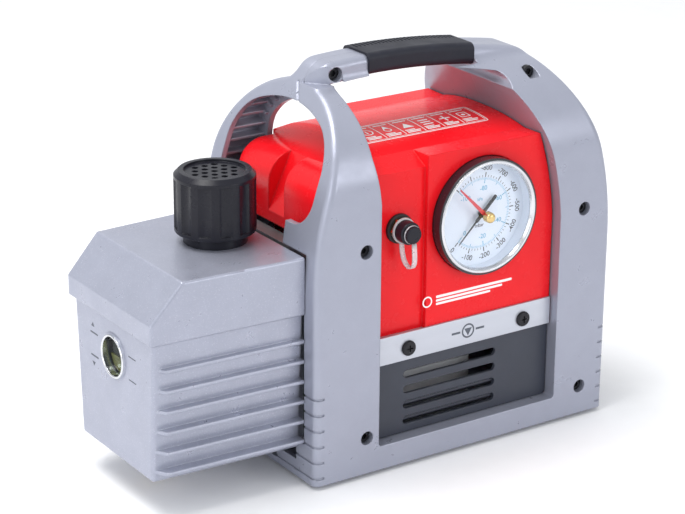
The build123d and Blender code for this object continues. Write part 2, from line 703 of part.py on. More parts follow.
def gauge_bezel():
    """Bright ring with a rounded outer bead and a dished inner face, standing on the case and the window."""
    profile = [(BEZEL_RADIUS, BEZEL_BACK_Y), (BEZEL_RADIUS, BEZEL_FRONT_Y + 0.6),
               (BEZEL_RADIUS - 0.6, BEZEL_FRONT_Y),
               (BEZEL_RADIUS - 1.8, BEZEL_FRONT_Y), (BEZEL_RADIUS - 2.4, BEZEL_FRONT_Y + 0.7),
               (BEZEL_INNER_RADIUS, WINDOW_Y - 0.6), (BEZEL_INNER_RADIUS, WINDOW_Y), (DIAL_RADIUS, WINDOW_Y),
               (DIAL_RADIUS, BEZEL_BACK_Y)]
    section = Pos(0, 0, GAUGE_Z) * Polygon(*[(GAUGE_X + r, y) for r, y in profile], align=None)
    return revolve(section, axis=Axis((GAUGE_X, 0, GAUGE_Z), (0, 1, 0)))


def gauge_window():
    return gauge_ring(WINDOW_Y, WINDOW_Y + 0.4, DIAL_RADIUS, 1.7)


def gauge_dial():
    """White dial with an upright rim that carries the window."""
    rim = gauge_ring(WINDOW_Y + 0.4, DIAL_Y, DIAL_RADIUS, DIAL_RADIUS - 0.8)
    return gauge_ring(DIAL_Y, DIAL_Y + 1.0, DIAL_RADIUS, 1.6) + rim


def gauge_face_plane(y):
    """Plane parallel to the dial at depth y, whose X is right and Y is up as read from the front."""
    return Plane((GAUGE_X, y, GAUGE_Z), x_dir=(1, 0, 0), z_dir=(0, -1, 0))


def gauge_needle():
    """Black needle: a thick round-ended tail, a thin tip at the zero mark and its arbor through the dial."""
    outline = Pos(-4.5, 0) * SlotOverall(23.0, 2.5)
    outline += Polygon((6, -0.6), (25.6, -0.25), (25.6, 0.25), (6, 0.6), align=None) + Circle(2.6)
    blade = extrude(gauge_face_plane(NEEDLE_Y) * (Rot(0, 0, NEEDLE_REST_DEG) * outline), amount=0.5)
    return blade + rod_y(NEEDLE_Y, GAUGE_BACK_Y - 12, 1.4, GAUGE_X, GAUGE_Z)


def set_pointer():
    """Red reference pointer, widest at its hub and clamped under the knob in the window."""
    outline = Polygon((0, -1.5), (31.0, -0.5), (31.0, 0.5), (0, 1.5), align=None) + Circle(2.4)
    blade = gauge_face_plane(POINTER_Y) * (Rot(0, 0, POINTER_REST_DEG) * outline)
    return extrude(blade, amount=0.4) - rod_y(-80, -60, 1.0, GAUGE_X, GAUGE_Z)


def set_pointer_knob():
    """Round-topped knob in front of the window, with its stem down to the pointer."""
    knob = rod_y(KNOB_FRONT_Y, WINDOW_Y - 0.3, KNOB_RADIUS, GAUGE_X, GAUGE_Z)
    knob = fillet(knob.edges().sort_by(Axis.Y)[:1], 2.6)
    knob += rod_y(WINDOW_Y - 0.3, POINTER_Y - 0.4, 1.6, GAUGE_X, GAUGE_Z)
    return knob + rod_y(POINTER_Y - 0.4, POINTER_Y, 1.0, GAUGE_X, GAUGE_Z)


def gauge_movement():
    """Brass stem with the curved pressure tube behind the dial."""
    stem = rod_y(GAUGE_BACK_Y - 14, INLET_BLOCK_Y - 8.0, 7.0, GAUGE_X, GAUGE_Z)
    stem -= rod_y(GAUGE_BACK_Y - 15, GAUGE_BACK_Y - 8, 1.6, GAUGE_X, GAUGE_Z)
    ring = Pos(GAUGE_X, GAUGE_BACK_Y - 9, GAUGE_Z) * Rot(90, 0, 0) * Torus(24.0, 3.0)
    ring -= block(GAUGE_X - 30, GAUGE_X - 4, -80, -30, GAUGE_Z - 30, GAUGE_Z)
    link = block(GAUGE_X - 4, GAUGE_X + 4, GAUGE_BACK_Y - 12, GAUGE_BACK_Y - 6, GAUGE_Z - 26, GAUGE_Z - 5)
    return stem + ring + link


# ---------------------------------------------------------------- inlet

def inlet_grommet():
    bore = INLET_SHANK_RADIUS + 0.2
    ring = tube_y(-COVER_FACE_Y - 2.5, -COVER_FACE_Y, GROMMET_RADIUS, bore, INLET_X, INLET_Z)
    ring = fillet(ring.edges().sort_by(Axis.Y)[:1], 1.0)
    back = COVER_WALL - COVER_FACE_Y
    return ring + tube_y(-COVER_FACE_Y, back, GROMMET_HOLE - 0.1, bore, INLET_X, INLET_Z)


def inlet_fitting():
    """Flare fitting: a shank through the cover, a hexagon and the threaded nose."""
    seat = -COVER_FACE_Y - 2.7
    shank = rod_y(seat, INLET_BLOCK_Y - 6.0, INLET_SHANK_RADIUS, INLET_X, INLET_Z)
    hexagon = Plane((INLET_X, seat, INLET_Z), x_dir=(1, 0, 0), z_dir=(0, -1, 0))
    hexagon = extrude(hexagon * RegularPolygon(7.6, 6, major_radius=False), amount=2.4)
    nose = rod_y(FLARE_TIP_Y, seat - 2.3, INLET_THREAD_RADIUS, INLET_X, INLET_Z)
    nose = chamfer(nose.edges().sort_by(Axis.Y)[:1], 1.2)
    return shank + hexagon + nose - rod_y(-80, -20, INLET_BORE_RADIUS, INLET_X, INLET_Z)


def inlet_cap():
    """Dust cap on the flare nose: a plain skirt and a knurled tip."""
    skirt = rod_y(CAP_STEP_Y, CAP_SKIRT_Y, CAP_SKIRT_RADIUS, INLET_X, INLET_Z)
    skirt = fillet(skirt.edges().sort_by(Axis.Y)[:1], 1.2)
    tip = rod_y(CAP_TIP_Y, CAP_STEP_Y, CAP_TIP_RADIUS, INLET_X, INLET_Z)
    tip = chamfer(tip.edges().sort_by(Axis.Y)[:1], 0.8)
    for step in range(18):
        angle = math.radians(20 * step)
        x = INLET_X + (CAP_TIP_RADIUS + 0.3) * math.cos(angle)
        z = INLET_Z + (CAP_TIP_RADIUS + 0.3) * math.sin(angle)
        tip -= rod_y(CAP_TIP_Y - 1, CAP_STEP_Y - 0.7, 0.55, x, z)
    return skirt + tip - rod_y(FLARE_TIP_Y - 0.2, -60, INLET_THREAD_RADIUS + 0.08, INLET_X, INLET_Z)


def cap_strap():
    """Clear strap: a collar behind the cap, a collar under its tip, and the loop that joins them."""
    front_back = STRAP_FRONT_Y + STRAP_THICK
    rear_front = STRAP_REAR_Y - STRAP_THICK
    rear = tube_y(rear_front, STRAP_REAR_Y, 8.6, INLET_THREAD_RADIUS + 0.3, INLET_X, INLET_Z)
    front = tube_y(STRAP_FRONT_Y, front_back, CAP_SKIRT_RADIUS, CAP_TIP_RADIUS + 0.2, INLET_X, INLET_Z)
    width = STRAP_REAR_Y - STRAP_FRONT_Y
    height = STRAP_DROP - 6.0
    place = Pos((STRAP_REAR_Y + STRAP_FRONT_Y) / 2, INLET_Z - STRAP_DROP + height / 2)
    loop = place * SlotOverall(height, width, rotation=90)
    loop -= place * SlotOverall(height - 2 * STRAP_THICK, width - 2 * STRAP_THICK, rotation=90)
    loop = along(loop, INLET_X - STRAP_HALF_WIDTH, INLET_X + STRAP_HALF_WIDTH)
    loop -= block(INLET_X - 5, INLET_X + 5, front_back, rear_front, INLET_Z - 12, INLET_Z)
    stubs = block(-STRAP_HALF_WIDTH, STRAP_HALF_WIDTH, STRAP_FRONT_Y, front_back, -13, -6.7)
    stubs += block(-STRAP_HALF_WIDTH, STRAP_HALF_WIDTH, rear_front, STRAP_REAR_Y, -13, -7.5)
    return rear + front + loop + Pos(INLET_X, 0, INLET_Z) * stubs


def bent_tube(points, bend, radius, bore):
    """Pipe along straight runs joined by tangent bends."""
    path = FilletPolyline(*points, radius=bend)
    start = Plane(origin=path @ 0, z_dir=path % 0)
    return sweep(start * (Circle(radius) - Circle(bore)), path=path)


def inlet_manifold():
    """Drilled block behind the inlet, with its pipes to the pump flange and to the gauge."""
    front = INLET_BLOCK_Y - 6.0
    pipe_y = INLET_BLOCK_Y + 3.0
    bottom = INLET_Z - 11.0
    body = block(INLET_X - 11, INLET_X + 11, front, INLET_BLOCK_Y + 12.0, bottom, INLET_Z + 11)
    body -= rod_y(front - 1, pipe_y, INLET_BORE_RADIUS, INLET_X, INLET_Z)
    elbow = (INLET_X - 5.0, pipe_y, SUCTION_PORT_Z)
    port = (FLANGE_LEFT + FLANGE_THICK, pipe_y, SUCTION_PORT_Z)
    suction = bent_tube([(INLET_X - 5.0, pipe_y, bottom), elbow, port], 12.0, 5.0, 3.6)
    corner = (GAUGE_X, pipe_y, INLET_Z)
    gauge_end = (GAUGE_X, INLET_BLOCK_Y - 8.0, INLET_Z)
    gauge_pipe = bent_tube([(INLET_X + 11, pipe_y, INLET_Z), corner, gauge_end], 8.0, 3.0, 2.0)
    return body + suction + gauge_pipe


# ---------------------------------------------------------------- oil casing

def trapezoid(x, half_low, half_high, z0, z1):
    """Four-sided section across the casing at X."""
    return Plane((x, 0, 0), x_dir=(0, 1, 0), z_dir=(1, 0, 0)) * Polygon(
        (-half_low, z0), (half_low, z0), (half_high, z1), (-half_high, z1), align=None)


def spread(x):
    """Half-width that the casing gains from its closed end to X."""
    return CASING_GROWTH * (x - CASING_LEFT) / (CASING_RIGHT - CASING_LEFT)


def casing_prism(x0, x1, half_low, half_high, z0, z1):
    """Part of the casing between two sections, widening towards the frame."""
    ends = [trapezoid(x, half_low + spread(x), half_high + spread(x), z0, z1) for x in (x0, x1)]
    return loft(ends, ruled=True)


def casing_fins():
    """Horizontal cooling fins on both long sides, each cut off at a slant at its closed end."""
    x0 = CASING_LEFT + FIN_START
    x1 = x0 + FIN_END_RUN
    outline = Polygon((x0, 30), (x0, BODY_HALF_BOTTOM - 1), (x1, FIN_HALF_WIDTH + spread(x1)),
                      (CASING_RIGHT, FIN_HALF_WIDTH + CASING_GROWTH), (CASING_RIGHT, 30), align=None)
    tip = [v for v in outline.vertices() if abs(v.X - x1) < 0.1]
    fin = extrude(fillet(tip, 1.5), amount=FIN_THICK)
    edge = [e for e in fin.edges() if e.center().Y > 50 and e.length > 20]
    fin = fillet(edge, 0.8)
    fins = Part()
    for step in range(FIN_COUNT):
        fins += Pos(0, 0, FIN_TOP_Z - FIN_PITCH * step - FIN_THICK / 2) * fin
    return mirrored(fins)


def oil_casing():
    """One-piece cast casing: finned body, overhanging bevelled top and a spigot into the frame."""
    low_half = BODY_HALF_BOTTOM
    body = casing_prism(CASING_LEFT, CASING_RIGHT, low_half, BODY_HALF_TOP, CASING_BOTTOM, LID_BOTTOM + 1)
    free = [e for e in body.edges() if e.center().X < CASING_RIGHT - 1]
    body = fillet([e for e in free if e.center().Z < LID_BOTTOM], 2.5)
    lid_half = BODY_HALF_TOP + LID_OVERHANG
    lid = casing_prism(LID_LEFT, CASING_RIGHT, lid_half, lid_half, LID_BOTTOM, LID_TOP)
    wedge = Polygon((LID_LEFT - 1, LID_BEVEL_Z - 1.1), (LID_LEFT + LID_BEVEL_RUN, LID_TOP),
                    (LID_LEFT + LID_BEVEL_RUN, LID_TOP + 9), (LID_LEFT - 1, LID_TOP + 9), align=None)
    lid -= across(wedge, 80)
    lid = fillet([e for e in lid.edges() if e.center().X < CASING_RIGHT - 1], 1.8)
    casing = body + lid + casing_fins()
    casing += block(CASING_RIGHT - 1, NECK_END, -50, 50, 27, 152)
    boss = rod_x(CASING_LEFT - 1.0, CASING_LEFT + 5, SIGHT_BOSS_RADIUS, 0, SIGHT_Z)
    casing += fillet(boss.edges().sort_by(Axis.X)[:1], 0.6)
    cavity = block(CASING_LEFT + CASING_WALL, NECK_END + 1, -42, 42, CASING_BOTTOM + CASING_WALL, LID_BOTTOM)
    cavity += block(LID_LEFT + LID_BEVEL_RUN, NECK_END + 1, -45, 45, LID_BOTTOM - 1, LID_TOP - CASING_WALL)
    bosses = Part()
    for y, z in casing_bolt_places():
        bosses += rod_x(-24, NECK_END, 6.5, y, z)
    casing = casing - (cavity - bosses)
    casing -= rod_x(CASING_LEFT - 4, CASING_LEFT + 8, SIGHT_LENS_RADIUS + 0.05, 0, SIGHT_Z)
    casing -= rod_x(CASING_LEFT - 4, CASING_LEFT + 2.5, SIGHT_RING_RADIUS, 0, SIGHT_Z)
    casing -= rod_z(LID_TOP - 10, LID_TOP + 1, 15.2, CAP_X, 0)
    casing -= rod_z(CASING_BOTTOM - 1, CASING_BOTTOM + 9, 5.05, DRAIN_X, 0)
    for y, z in casing_bolt_places():
        casing -= rod_x(-14, NECK_END + 1, 3.0, y, z)
    return casing


def casing_bolt_places():
    return [(y, z) for y in (-CASING_BOLT_Y, CASING_BOLT_Y) for z in CASING_BOLT_Z]


def casing_gasket():
    gasket = block(NECK_END, FLANGE_LEFT, -50, 50, 27, 152)
    gasket -= block(NECK_END - 1, FLANGE_LEFT + 1, -42, 42, 32, 147)
    for y in (-43, 43):
        gasket += block(NECK_END, FLANGE_LEFT, y - 7, y + 7, 27, 41)
        gasket += block(NECK_END, FLANGE_LEFT, y - 7, y + 7, 138, 152)
    for y, z in casing_bolt_places():
        gasket -= rod_x(NECK_END - 1, FLANGE_LEFT + 1, 3.2, y, z)
    return gasket


def casing_bolts():
    face = FLANGE_LEFT + FLANGE_THICK
    bolts = Part()
    for y, z in casing_bolt_places():
        bolts += rod_x(-12, face, 2.95, y, z) + rod_x(face, face + 6, 5.0, y, z)
    return bolts


def sight_glass_ring():
    ring = tube_x(CASING_LEFT - 1.8, CASING_LEFT + 2.5, SIGHT_RING_RADIUS, SIGHT_HOLE_RADIUS, 0, SIGHT_Z)
    rim = [e for e in ring.edges() if e.center().X < CASING_LEFT - 1.0]
    return chamfer(rim, 0.5)


def sight_glass_lens():
    return rod_x(CASING_LEFT + 2.5, CASING_LEFT + 5.5, SIGHT_LENS_RADIUS, 0, SIGHT_Z)


def exhaust_neck():
    """Threaded neck on the casing's top, for filling and for the exhaust."""
    neck = rod_z(LID_TOP, LID_TOP + 6.6, 21.0, CAP_X, 0)
    neck += rod_z(LID_TOP, LID_TOP + 20, NECK_THREAD_RADIUS, CAP_X, 0)
    neck += rod_z(LID_TOP - 8, LID_TOP, 15.15, CAP_X, 0)
    return neck - rod_z(LID_TOP - 9, LID_TOP + 21, FILTER_RADIUS + 1.2, CAP_X, 0)


def cap_hole_places():
    """Nineteen places on a triangular grid round the cap's axis."""
    places = []
    for row in range(-2, 3):
        count = 5 - abs(row)
        for step in range(count):
            x = CAP_HOLE_PITCH * (step - (count - 1) / 2)
            places.append((CAP_X + x, CAP_HOLE_PITCH * row * math.sqrt(3) / 2))
    return places


def exhaust_cap():
    """Fluted cap with a sunken, drilled top."""
    low = LID_TOP + 7.0
    cap = rod_z(low, CAP_TOP, CAP_RADIUS, CAP_X, 0)
    cap = chamfer(cap.edges().filter_by(GeomType.CIRCLE).sort_by(Axis.Z)[-1:], 3.0)
    cap = fillet(cap.edges().filter_by(GeomType.CIRCLE).sort_by(Axis.Z)[:1], 1.0)
    flute_circle = CAP_RADIUS - CAP_FLUTE_DEPTH + CAP_FLUTE_RADIUS
    for step in range(CAP_FLUTES):
        angle = 2 * math.pi * (step + 0.5) / CAP_FLUTES
        x = CAP_X + flute_circle * math.cos(angle)
        y = flute_circle * math.sin(angle)
        cap -= rod_z(low + 3.0, CAP_TOP - 5.0, CAP_FLUTE_RADIUS, x, y)
    cap -= rod_z(CAP_TOP - 1.6, CAP_TOP + 1, 20.0, CAP_X, 0)
    cap -= rod_z(low - 1, low + 14.0, NECK_THREAD_RADIUS + 0.15, CAP_X, 0)
    cap -= rod_z(low + 13.0, CAP_TOP - 4.6, 17.2, CAP_X, 0)
    for x, y in cap_hole_places():
        cap -= rod_z(CAP_TOP - 8, CAP_TOP + 1, CAP_HOLE_RADIUS, x, y)
    return cap


def exhaust_filter():
    """Oil mist cartridge hanging in the neck."""
    rim = LID_TOP + 20
    cartridge = rod_z(LID_TOP - 32, rim, FILTER_RADIUS, CAP_X, 0) + rod_z(rim, rim + 1.5, 13.5, CAP_X, 0)
    return cartridge - rod_z(LID_TOP - 28, rim + 2, 7.5, CAP_X, 0)


def drain_plug():
    """Hexagon plug in the casing's underside."""
    thread = rod_z(CASING_BOTTOM, CASING_BOTTOM + 6, 5.0, DRAIN_X, 0)
    head = Pos(DRAIN_X, 0, CASING_BOTTOM - 6) * extrude(RegularPolygon(7.5, 6, major_radius=False), amount=6)
    return thread + head


# ---------------------------------------------------------------- pump module

def module_screw_places():
    places = []
    for step in range(4):
        angle = math.radians(45 + 90 * step)
        places.append((31.5 * math.cos(angle), SHAFT_Z + 31.5 * math.sin(angle)))
    return places


def drilled(plate, x0, x1):
    """The plate with its four module screw holes."""
    for y, z in module_screw_places():
        plate -= rod_x(x0 - 1, x1 + 1, 2.1, y, z)
    return plate


def pump_flange():
    """Mounting plate between casing and motor, with the shaft's bore and the suction port."""
    x0 = FLANGE_LEFT
    x1 = x0 + FLANGE_THICK
    flange = block(x0, x1, -52, 52, 18, 154)
    flange = fillet(flange.edges().filter_by(Axis.X), 8.0)
    flange -= rod_x(x0 - 1, x1 + 1, JOURNAL_RADIUS + RUNNING_GAP)
    flange -= rod_x(x1 - 5, x1 + 1, 16.0)
    flange -= rod_x(x0 + 4, x1 + 1, 3.6, INLET_BLOCK_Y + 3.0, SUCTION_PORT_Z)
    for y, z in casing_bolt_places():
        flange -= rod_x(x0 - 1, x1 + 1, 3.2, y, z)
    return drilled(flange, x0, x1 - 3)


def stage_ring(x0, x1):
    ring = rod_x(x0, x1, MODULE_RADIUS) - rod_x(x0 - 1, x1 + 1, BORE_RADIUS, 0, BORE_Z)
    return drilled(ring, x0, x1)


def intermediate_plate():
    plate = tube_x(PLATE_LEFT, STAGE_ONE_LEFT, MODULE_RADIUS, JOURNAL_RADIUS + RUNNING_GAP)
    return drilled(plate, PLATE_LEFT, STAGE_ONE_LEFT)


def pump_end_plate():
    plate = rod_x(MODULE_LEFT, STAGE_TWO_LEFT, MODULE_RADIUS)
    plate -= rod_x(MODULE_LEFT + 2.0, STAGE_TWO_LEFT + 1, 8.0 + RUNNING_GAP)
    return drilled(plate, MODULE_LEFT, STAGE_TWO_LEFT)


def module_screws():
    screws = Part()
    for y, z in module_screw_places():
        screws += rod_x(MODULE_LEFT, FLANGE_LEFT + 6, 2.0, y, z)
        screws += rod_x(MODULE_LEFT - 4, MODULE_LEFT, 3.6, y, z)
    return screws


def rotor(x0, x1, journals):
    """Rotor with a slot right through it, held together by its journals."""
    body = rod_x(x0 + RUNNING_GAP, x1 - RUNNING_GAP, ROTOR_RADIUS)
    body -= block(x0 - 1, x1 + 1, -SLOT_WIDTH / 2, SLOT_WIDTH / 2, SHAFT_Z - 21, SHAFT_Z + 21)
    for start, end, radius in journals:
        body += rod_x(start, end, radius)
    return body


def stage_one_rotor():
    journals = [(FLANGE_LEFT - RUNNING_GAP, FLANGE_LEFT + FLANGE_THICK, JOURNAL_RADIUS),
                (FLANGE_LEFT + FLANGE_THICK, 38.0, 6.0),
                (PLATE_LEFT + 2.0, STAGE_ONE_LEFT + RUNNING_GAP, JOURNAL_RADIUS)]
    return rotor(STAGE_ONE_LEFT, FLANGE_LEFT, journals)


def stage_two_rotor():
    journals = [(PLATE_LEFT - RUNNING_GAP, PLATE_LEFT + 2.0, JOURNAL_RADIUS),
                (STAGE_TWO_LEFT - 5.0, STAGE_TWO_LEFT + RUNNING_GAP, 8.0)]
    return rotor(STAGE_TWO_LEFT, PLATE_LEFT, journals)


def stage_vanes(x0, x1):
    """Two blades, above and below the spacer rod, with rounded tips."""
    centre = VANE_TIP - VANE_THICK / 2
    half = VANE_THICK / 2
    blade = patch(-half, half, SPACER_RADIUS + 0.1, centre) + Pos(0, centre) * Circle(half)
    blades = Pos(0, BORE_Z) * (blade + Rot(0, 0, 180) * blade)
    return along(blades, x0 + 2 * RUNNING_GAP, x1 - 2 * RUNNING_GAP)


def stage_spacer(x0, x1):
    """Rod that keeps the two blades apart and on the bore wall."""
    return rod_x(x0 + 2 * RUNNING_GAP, x1 - 2 * RUNNING_GAP, SPACER_RADIUS, 0, BORE_Z)


def shaft_seal():
    x = FLANGE_LEFT + FLANGE_THICK
    return tube_x(x - 5, x, 16.0, JOURNAL_RADIUS + RUNNING_GAP)


# ---------------------------------------------------------------- motor

def coupling_hub(x0, face, direction):
    """Coupling half with three jaws."""
    x1 = x0 + 12.0
    hub = rod_x(x0, x1, COUPLING_RADIUS)
    for step in range(3):
        jaw = block(face - 2.6, face + 2.6, -4.0, 4.0, SHAFT_Z + 8.0, SHAFT_Z + 16.0)
        jaw = Pos(-0.4 * direction, 0, 0) * jaw
        turn = 120.0 * step + (0 if direction > 0 else 60.0)
        hub += turned(jaw, turn)
    return hub


def coupling_hubs():
    pump_side = coupling_hub(COUPLING_LEFT, SPIDER_LEFT + 3, 1) - rod_x(COUPLING_LEFT - 1, 60, 6.0)
    motor_side = coupling_hub(SPIDER_RIGHT, SPIDER_LEFT + 3, -1) - rod_x(20, 60, MOTOR_SHAFT_RADIUS)
    return pump_side + motor_side


def coupling_spider():
    """Rubber star between the jaws."""
    star = tube_x(SPIDER_LEFT, SPIDER_RIGHT, COUPLING_RADIUS, 6.2)
    for step in range(6):
        jaw = block(SPIDER_LEFT - 1, SPIDER_RIGHT + 1, -4.1, 4.1, SHAFT_Z + 7.8, SHAFT_Z + 18.0)
        star -= turned(jaw, 60.0 * step)
    return star


def motor_shaft():
    shaft = rod_x(43.0, FAN_RIGHT - 1, MOTOR_SHAFT_RADIUS)
    return chamfer(shaft.edges().filter_by(GeomType.CIRCLE), 0.8)


def motor_housing():
    """Aluminium motor tube, carried on to the pump flange as the coupling bell, with two foot rails."""
    bell = FLANGE_LEFT + FLANGE_THICK
    housing = rod_x(bell, MOTOR_RIGHT, MOTOR_RADIUS)
    for side in (-1, 1):
        housing += block(70, 146, side * 38 - 3, side * 38 + 3, WALL, 50)
    return housing - rod_x(bell - 1, MOTOR_RIGHT + 1, MOTOR_RADIUS - WALL)


def end_shield(x0):
    shield = rod_x(x0, x0 + SHIELD_THICK, MOTOR_RADIUS - WALL)
    return shield - rod_x(x0 - 1, x0 + SHIELD_THICK + 1, 16.0)


def motor_end_shields():
    return end_shield(MOTOR_LEFT - SHIELD_THICK) + end_shield(MOTOR_RIGHT - SHIELD_THICK)


def motor_bearings():
    bearings = Part()
    for x in (MOTOR_LEFT - SHIELD_THICK, MOTOR_RIGHT - SHIELD_THICK):
        bearings += tube_x(x, x + SHIELD_THICK, 16.0, MOTOR_SHAFT_RADIUS + RUNNING_GAP)
    return bearings


def stator_core():
    core = tube_x(CORE_LEFT, CORE_RIGHT, MOTOR_RADIUS - WALL, CORE_BORE)
    slot = rod_x(CORE_LEFT - 1, CORE_RIGHT + 1, 3.0, 0, SHAFT_Z + SLOT_CIRCLE)
    for step in range(STATOR_SLOTS):
        core -= turned(slot, 360.0 * step / STATOR_SLOTS)
    return core


def motor_windings():
    """Copper end turns with the slot bars that join them."""
    coils = tube_x(CORE_LEFT - 11, CORE_LEFT, 40.0, 30.0) + tube_x(CORE_RIGHT, CORE_RIGHT + 11, 40.0, 30.0)
    bar = rod_x(CORE_LEFT - 1, CORE_RIGHT + 1, 2.9, 0, SHAFT_Z + SLOT_CIRCLE)
    for step in range(STATOR_SLOTS):
        coils += turned(bar, 360.0 * step / STATOR_SLOTS)
    return coils


def motor_rotor():
    return tube_x(CORE_LEFT, CORE_RIGHT, CORE_BORE - 0.4, MOTOR_SHAFT_RADIUS)


def fan():
    """Radial cooling fan on the motor shaft's free end."""
    wheel = rod_x(FAN_LEFT, FAN_LEFT + 2.5, 42.0) + rod_x(FAN_LEFT, FAN_RIGHT, 14.0)
    blade = block(FAN_LEFT + 1, FAN_RIGHT - 2, -1.0, 1.0, SHAFT_Z + 10, SHAFT_Z + 40)
    for step in range(9):
        wheel += turned(blade, 40.0 * step)
    return wheel - rod_x(FAN_LEFT - 1, FAN_RIGHT + 1, MOTOR_SHAFT_RADIUS)


def capacitor():
    """Run capacitor with its clamp, standing on the motor housing."""
    can = rod_x(92, 160, 19.0, 20.0, 160.0)
    saddle = block(108, 140, 12.0, 28.0, SHAFT_Z + MOTOR_RADIUS - 6.0, 150.0)
    return can + saddle - rod_x(80, 160, MOTOR_RADIUS)


PIECES = {
    "rubber_feet": rubber_feet,
    "grip_rear": rear_grip,
    "frame_screws": frame_screws,
    "motor_cover": motor_cover,
    "label_strip": label_strip,
    "label_strip_screws": label_strip_screws,
    "end_panel": end_panel,
    "rocker_switch": rocker_switch,
    "switch_housing": switch_housing,
    "power_inlet": power_inlet,
    "gauge_case": gauge_case,
    "gauge_bezel": gauge_bezel,
    "gauge_window": gauge_window,
    "gauge_dial": gauge_dial,
    "gauge_needle": gauge_needle,
    "set_pointer": set_pointer,
    "set_pointer_knob": set_pointer_knob,
    "gauge_movement": gauge_movement,
    "inlet_grommet": inlet_grommet,
    "inlet_fitting": inlet_fitting,
    "inlet_cap": inlet_cap,
    "cap_strap": cap_strap,
    "inlet_manifold": inlet_manifold,
    "oil_casing": oil_casing,
    "casing_gasket": casing_gasket,
    "casing_bolts": casing_bolts,
    "sight_glass_ring": sight_glass_ring,
    "sight_glass_lens": sight_glass_lens,
    "exhaust_neck": exhaust_neck,
    "exhaust_cap": exhaust_cap,
    "exhaust_filter": exhaust_filter,
    "drain_plug": drain_plug,
    "pump_flange": pump_flange,
    "intermediate_plate": intermediate_plate,
    "pump_end_plate": pump_end_plate,
    "module_screws": module_screws,
    "stage_one_rotor": stage_one_rotor,
    "stage_two_rotor": stage_two_rotor,
    "shaft_seal": shaft_seal,
    "coupling_hubs": coupling_hubs,
    "coupling_spider": coupling_spider,
    "motor_shaft": motor_shaft,
    "motor_housing": motor_housing,
    "motor_end_shields": motor_end_shields,
    "motor_bearings": motor_bearings,
    "stator_core": stator_core,
    "motor_windings": motor_windings,
    "motor_rotor": motor_rotor,
    "fan": fan,
    "capacitor": capacitor,
}

for name, make in PIECES.items():
    save(name, make())

frame = frame_body() - screw_seats()
save("frame_front_shell", frame & block(-5, 250, -80, 0, -5, 280))
save("frame_rear_shell", frame & block(-5, 250, 0, 80, -5, 280))
save("grip_front", grip() & block(0, FRAME_LENGTH, -30, 0, 230, 280))

save("vent_panels", mirrored(vent_panel()))

save("stage_one_ring", stage_ring(STAGE_ONE_LEFT, FLANGE_LEFT))
save("stage_two_ring", stage_ring(STAGE_TWO_LEFT, PLATE_LEFT))
save("stage_one_vanes", stage_vanes(STAGE_ONE_LEFT, FLANGE_LEFT))
save("stage_two_vanes", stage_vanes(STAGE_TWO_LEFT, PLATE_LEFT))
save("stage_one_spacer", stage_spacer(STAGE_ONE_LEFT, FLANGE_LEFT))
save("stage_two_spacer", stage_spacer(STAGE_TWO_LEFT, PLATE_LEFT))
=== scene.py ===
"""Looks of the rotary vane vacuum pump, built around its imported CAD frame."""
import math

import bmesh
import bpy
from mathutils import Matrix, Vector


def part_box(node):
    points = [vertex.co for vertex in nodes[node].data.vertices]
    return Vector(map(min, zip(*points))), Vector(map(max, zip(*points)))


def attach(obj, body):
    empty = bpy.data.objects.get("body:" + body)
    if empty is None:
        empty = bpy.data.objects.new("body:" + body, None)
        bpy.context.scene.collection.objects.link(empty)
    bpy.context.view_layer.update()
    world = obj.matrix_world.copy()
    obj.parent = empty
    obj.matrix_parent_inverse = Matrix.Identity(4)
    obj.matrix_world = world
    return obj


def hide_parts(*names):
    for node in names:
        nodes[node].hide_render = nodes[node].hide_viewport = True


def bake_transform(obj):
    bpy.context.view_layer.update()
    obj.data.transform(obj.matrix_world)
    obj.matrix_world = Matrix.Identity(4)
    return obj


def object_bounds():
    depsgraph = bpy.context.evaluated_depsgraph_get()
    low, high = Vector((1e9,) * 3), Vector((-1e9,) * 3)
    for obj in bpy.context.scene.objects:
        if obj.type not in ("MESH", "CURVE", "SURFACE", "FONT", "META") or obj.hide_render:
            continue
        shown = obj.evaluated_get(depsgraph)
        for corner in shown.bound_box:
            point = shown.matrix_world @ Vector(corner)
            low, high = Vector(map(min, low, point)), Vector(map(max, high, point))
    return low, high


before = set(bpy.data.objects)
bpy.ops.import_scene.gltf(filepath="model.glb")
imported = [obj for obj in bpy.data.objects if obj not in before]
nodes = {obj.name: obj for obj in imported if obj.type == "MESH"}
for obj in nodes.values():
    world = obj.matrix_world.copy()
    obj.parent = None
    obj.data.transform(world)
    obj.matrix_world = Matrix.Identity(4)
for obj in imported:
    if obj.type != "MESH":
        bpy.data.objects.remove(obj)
cad_low, cad_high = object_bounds()

MM = 0.001
X_AXIS = Vector((1, 0, 0))
Y_AXIS = Vector((0, 1, 0))
Z_AXIS = Vector((0, 0, 1))
# How far outside the CAD box a ray starts, in metres.
JUST_OUTSIDE = 0.1


def middle(node):
    """Centre of a CAD node's box."""
    low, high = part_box(node)
    return (low + high) / 2


def surface_point(node, start, direction):
    """Where a straight line from start first meets a CAD node."""
    found, place, _, _ = nodes[node].ray_cast(start, direction)
    if not found:
        raise ValueError(f"nothing of {node} lies that way")
    return place


# ---------------------------------------------------------------- mesh helpers

def circle(x, y, radius, count=40):
    turns = [2 * math.pi * i / count for i in range(count)]
    return [(x + radius * math.cos(a), y + radius * math.sin(a)) for a in turns]


def rounded_box(x0, y0, x1, y1, radius, steps=5):
    """Outline of a rectangle with round corners, counter-clockwise."""
    points = []
    for cx, cy, start in ((x1 - radius, y1 - radius, 0), (x0 + radius, y1 - radius, 90),
                          (x0 + radius, y0 + radius, 180), (x1 - radius, y0 + radius, 270)):
        for i in range(steps + 1):
            a = math.radians(start + 90 * i / steps)
            points.append((cx + radius * math.cos(a), cy + radius * math.sin(a)))
    return points


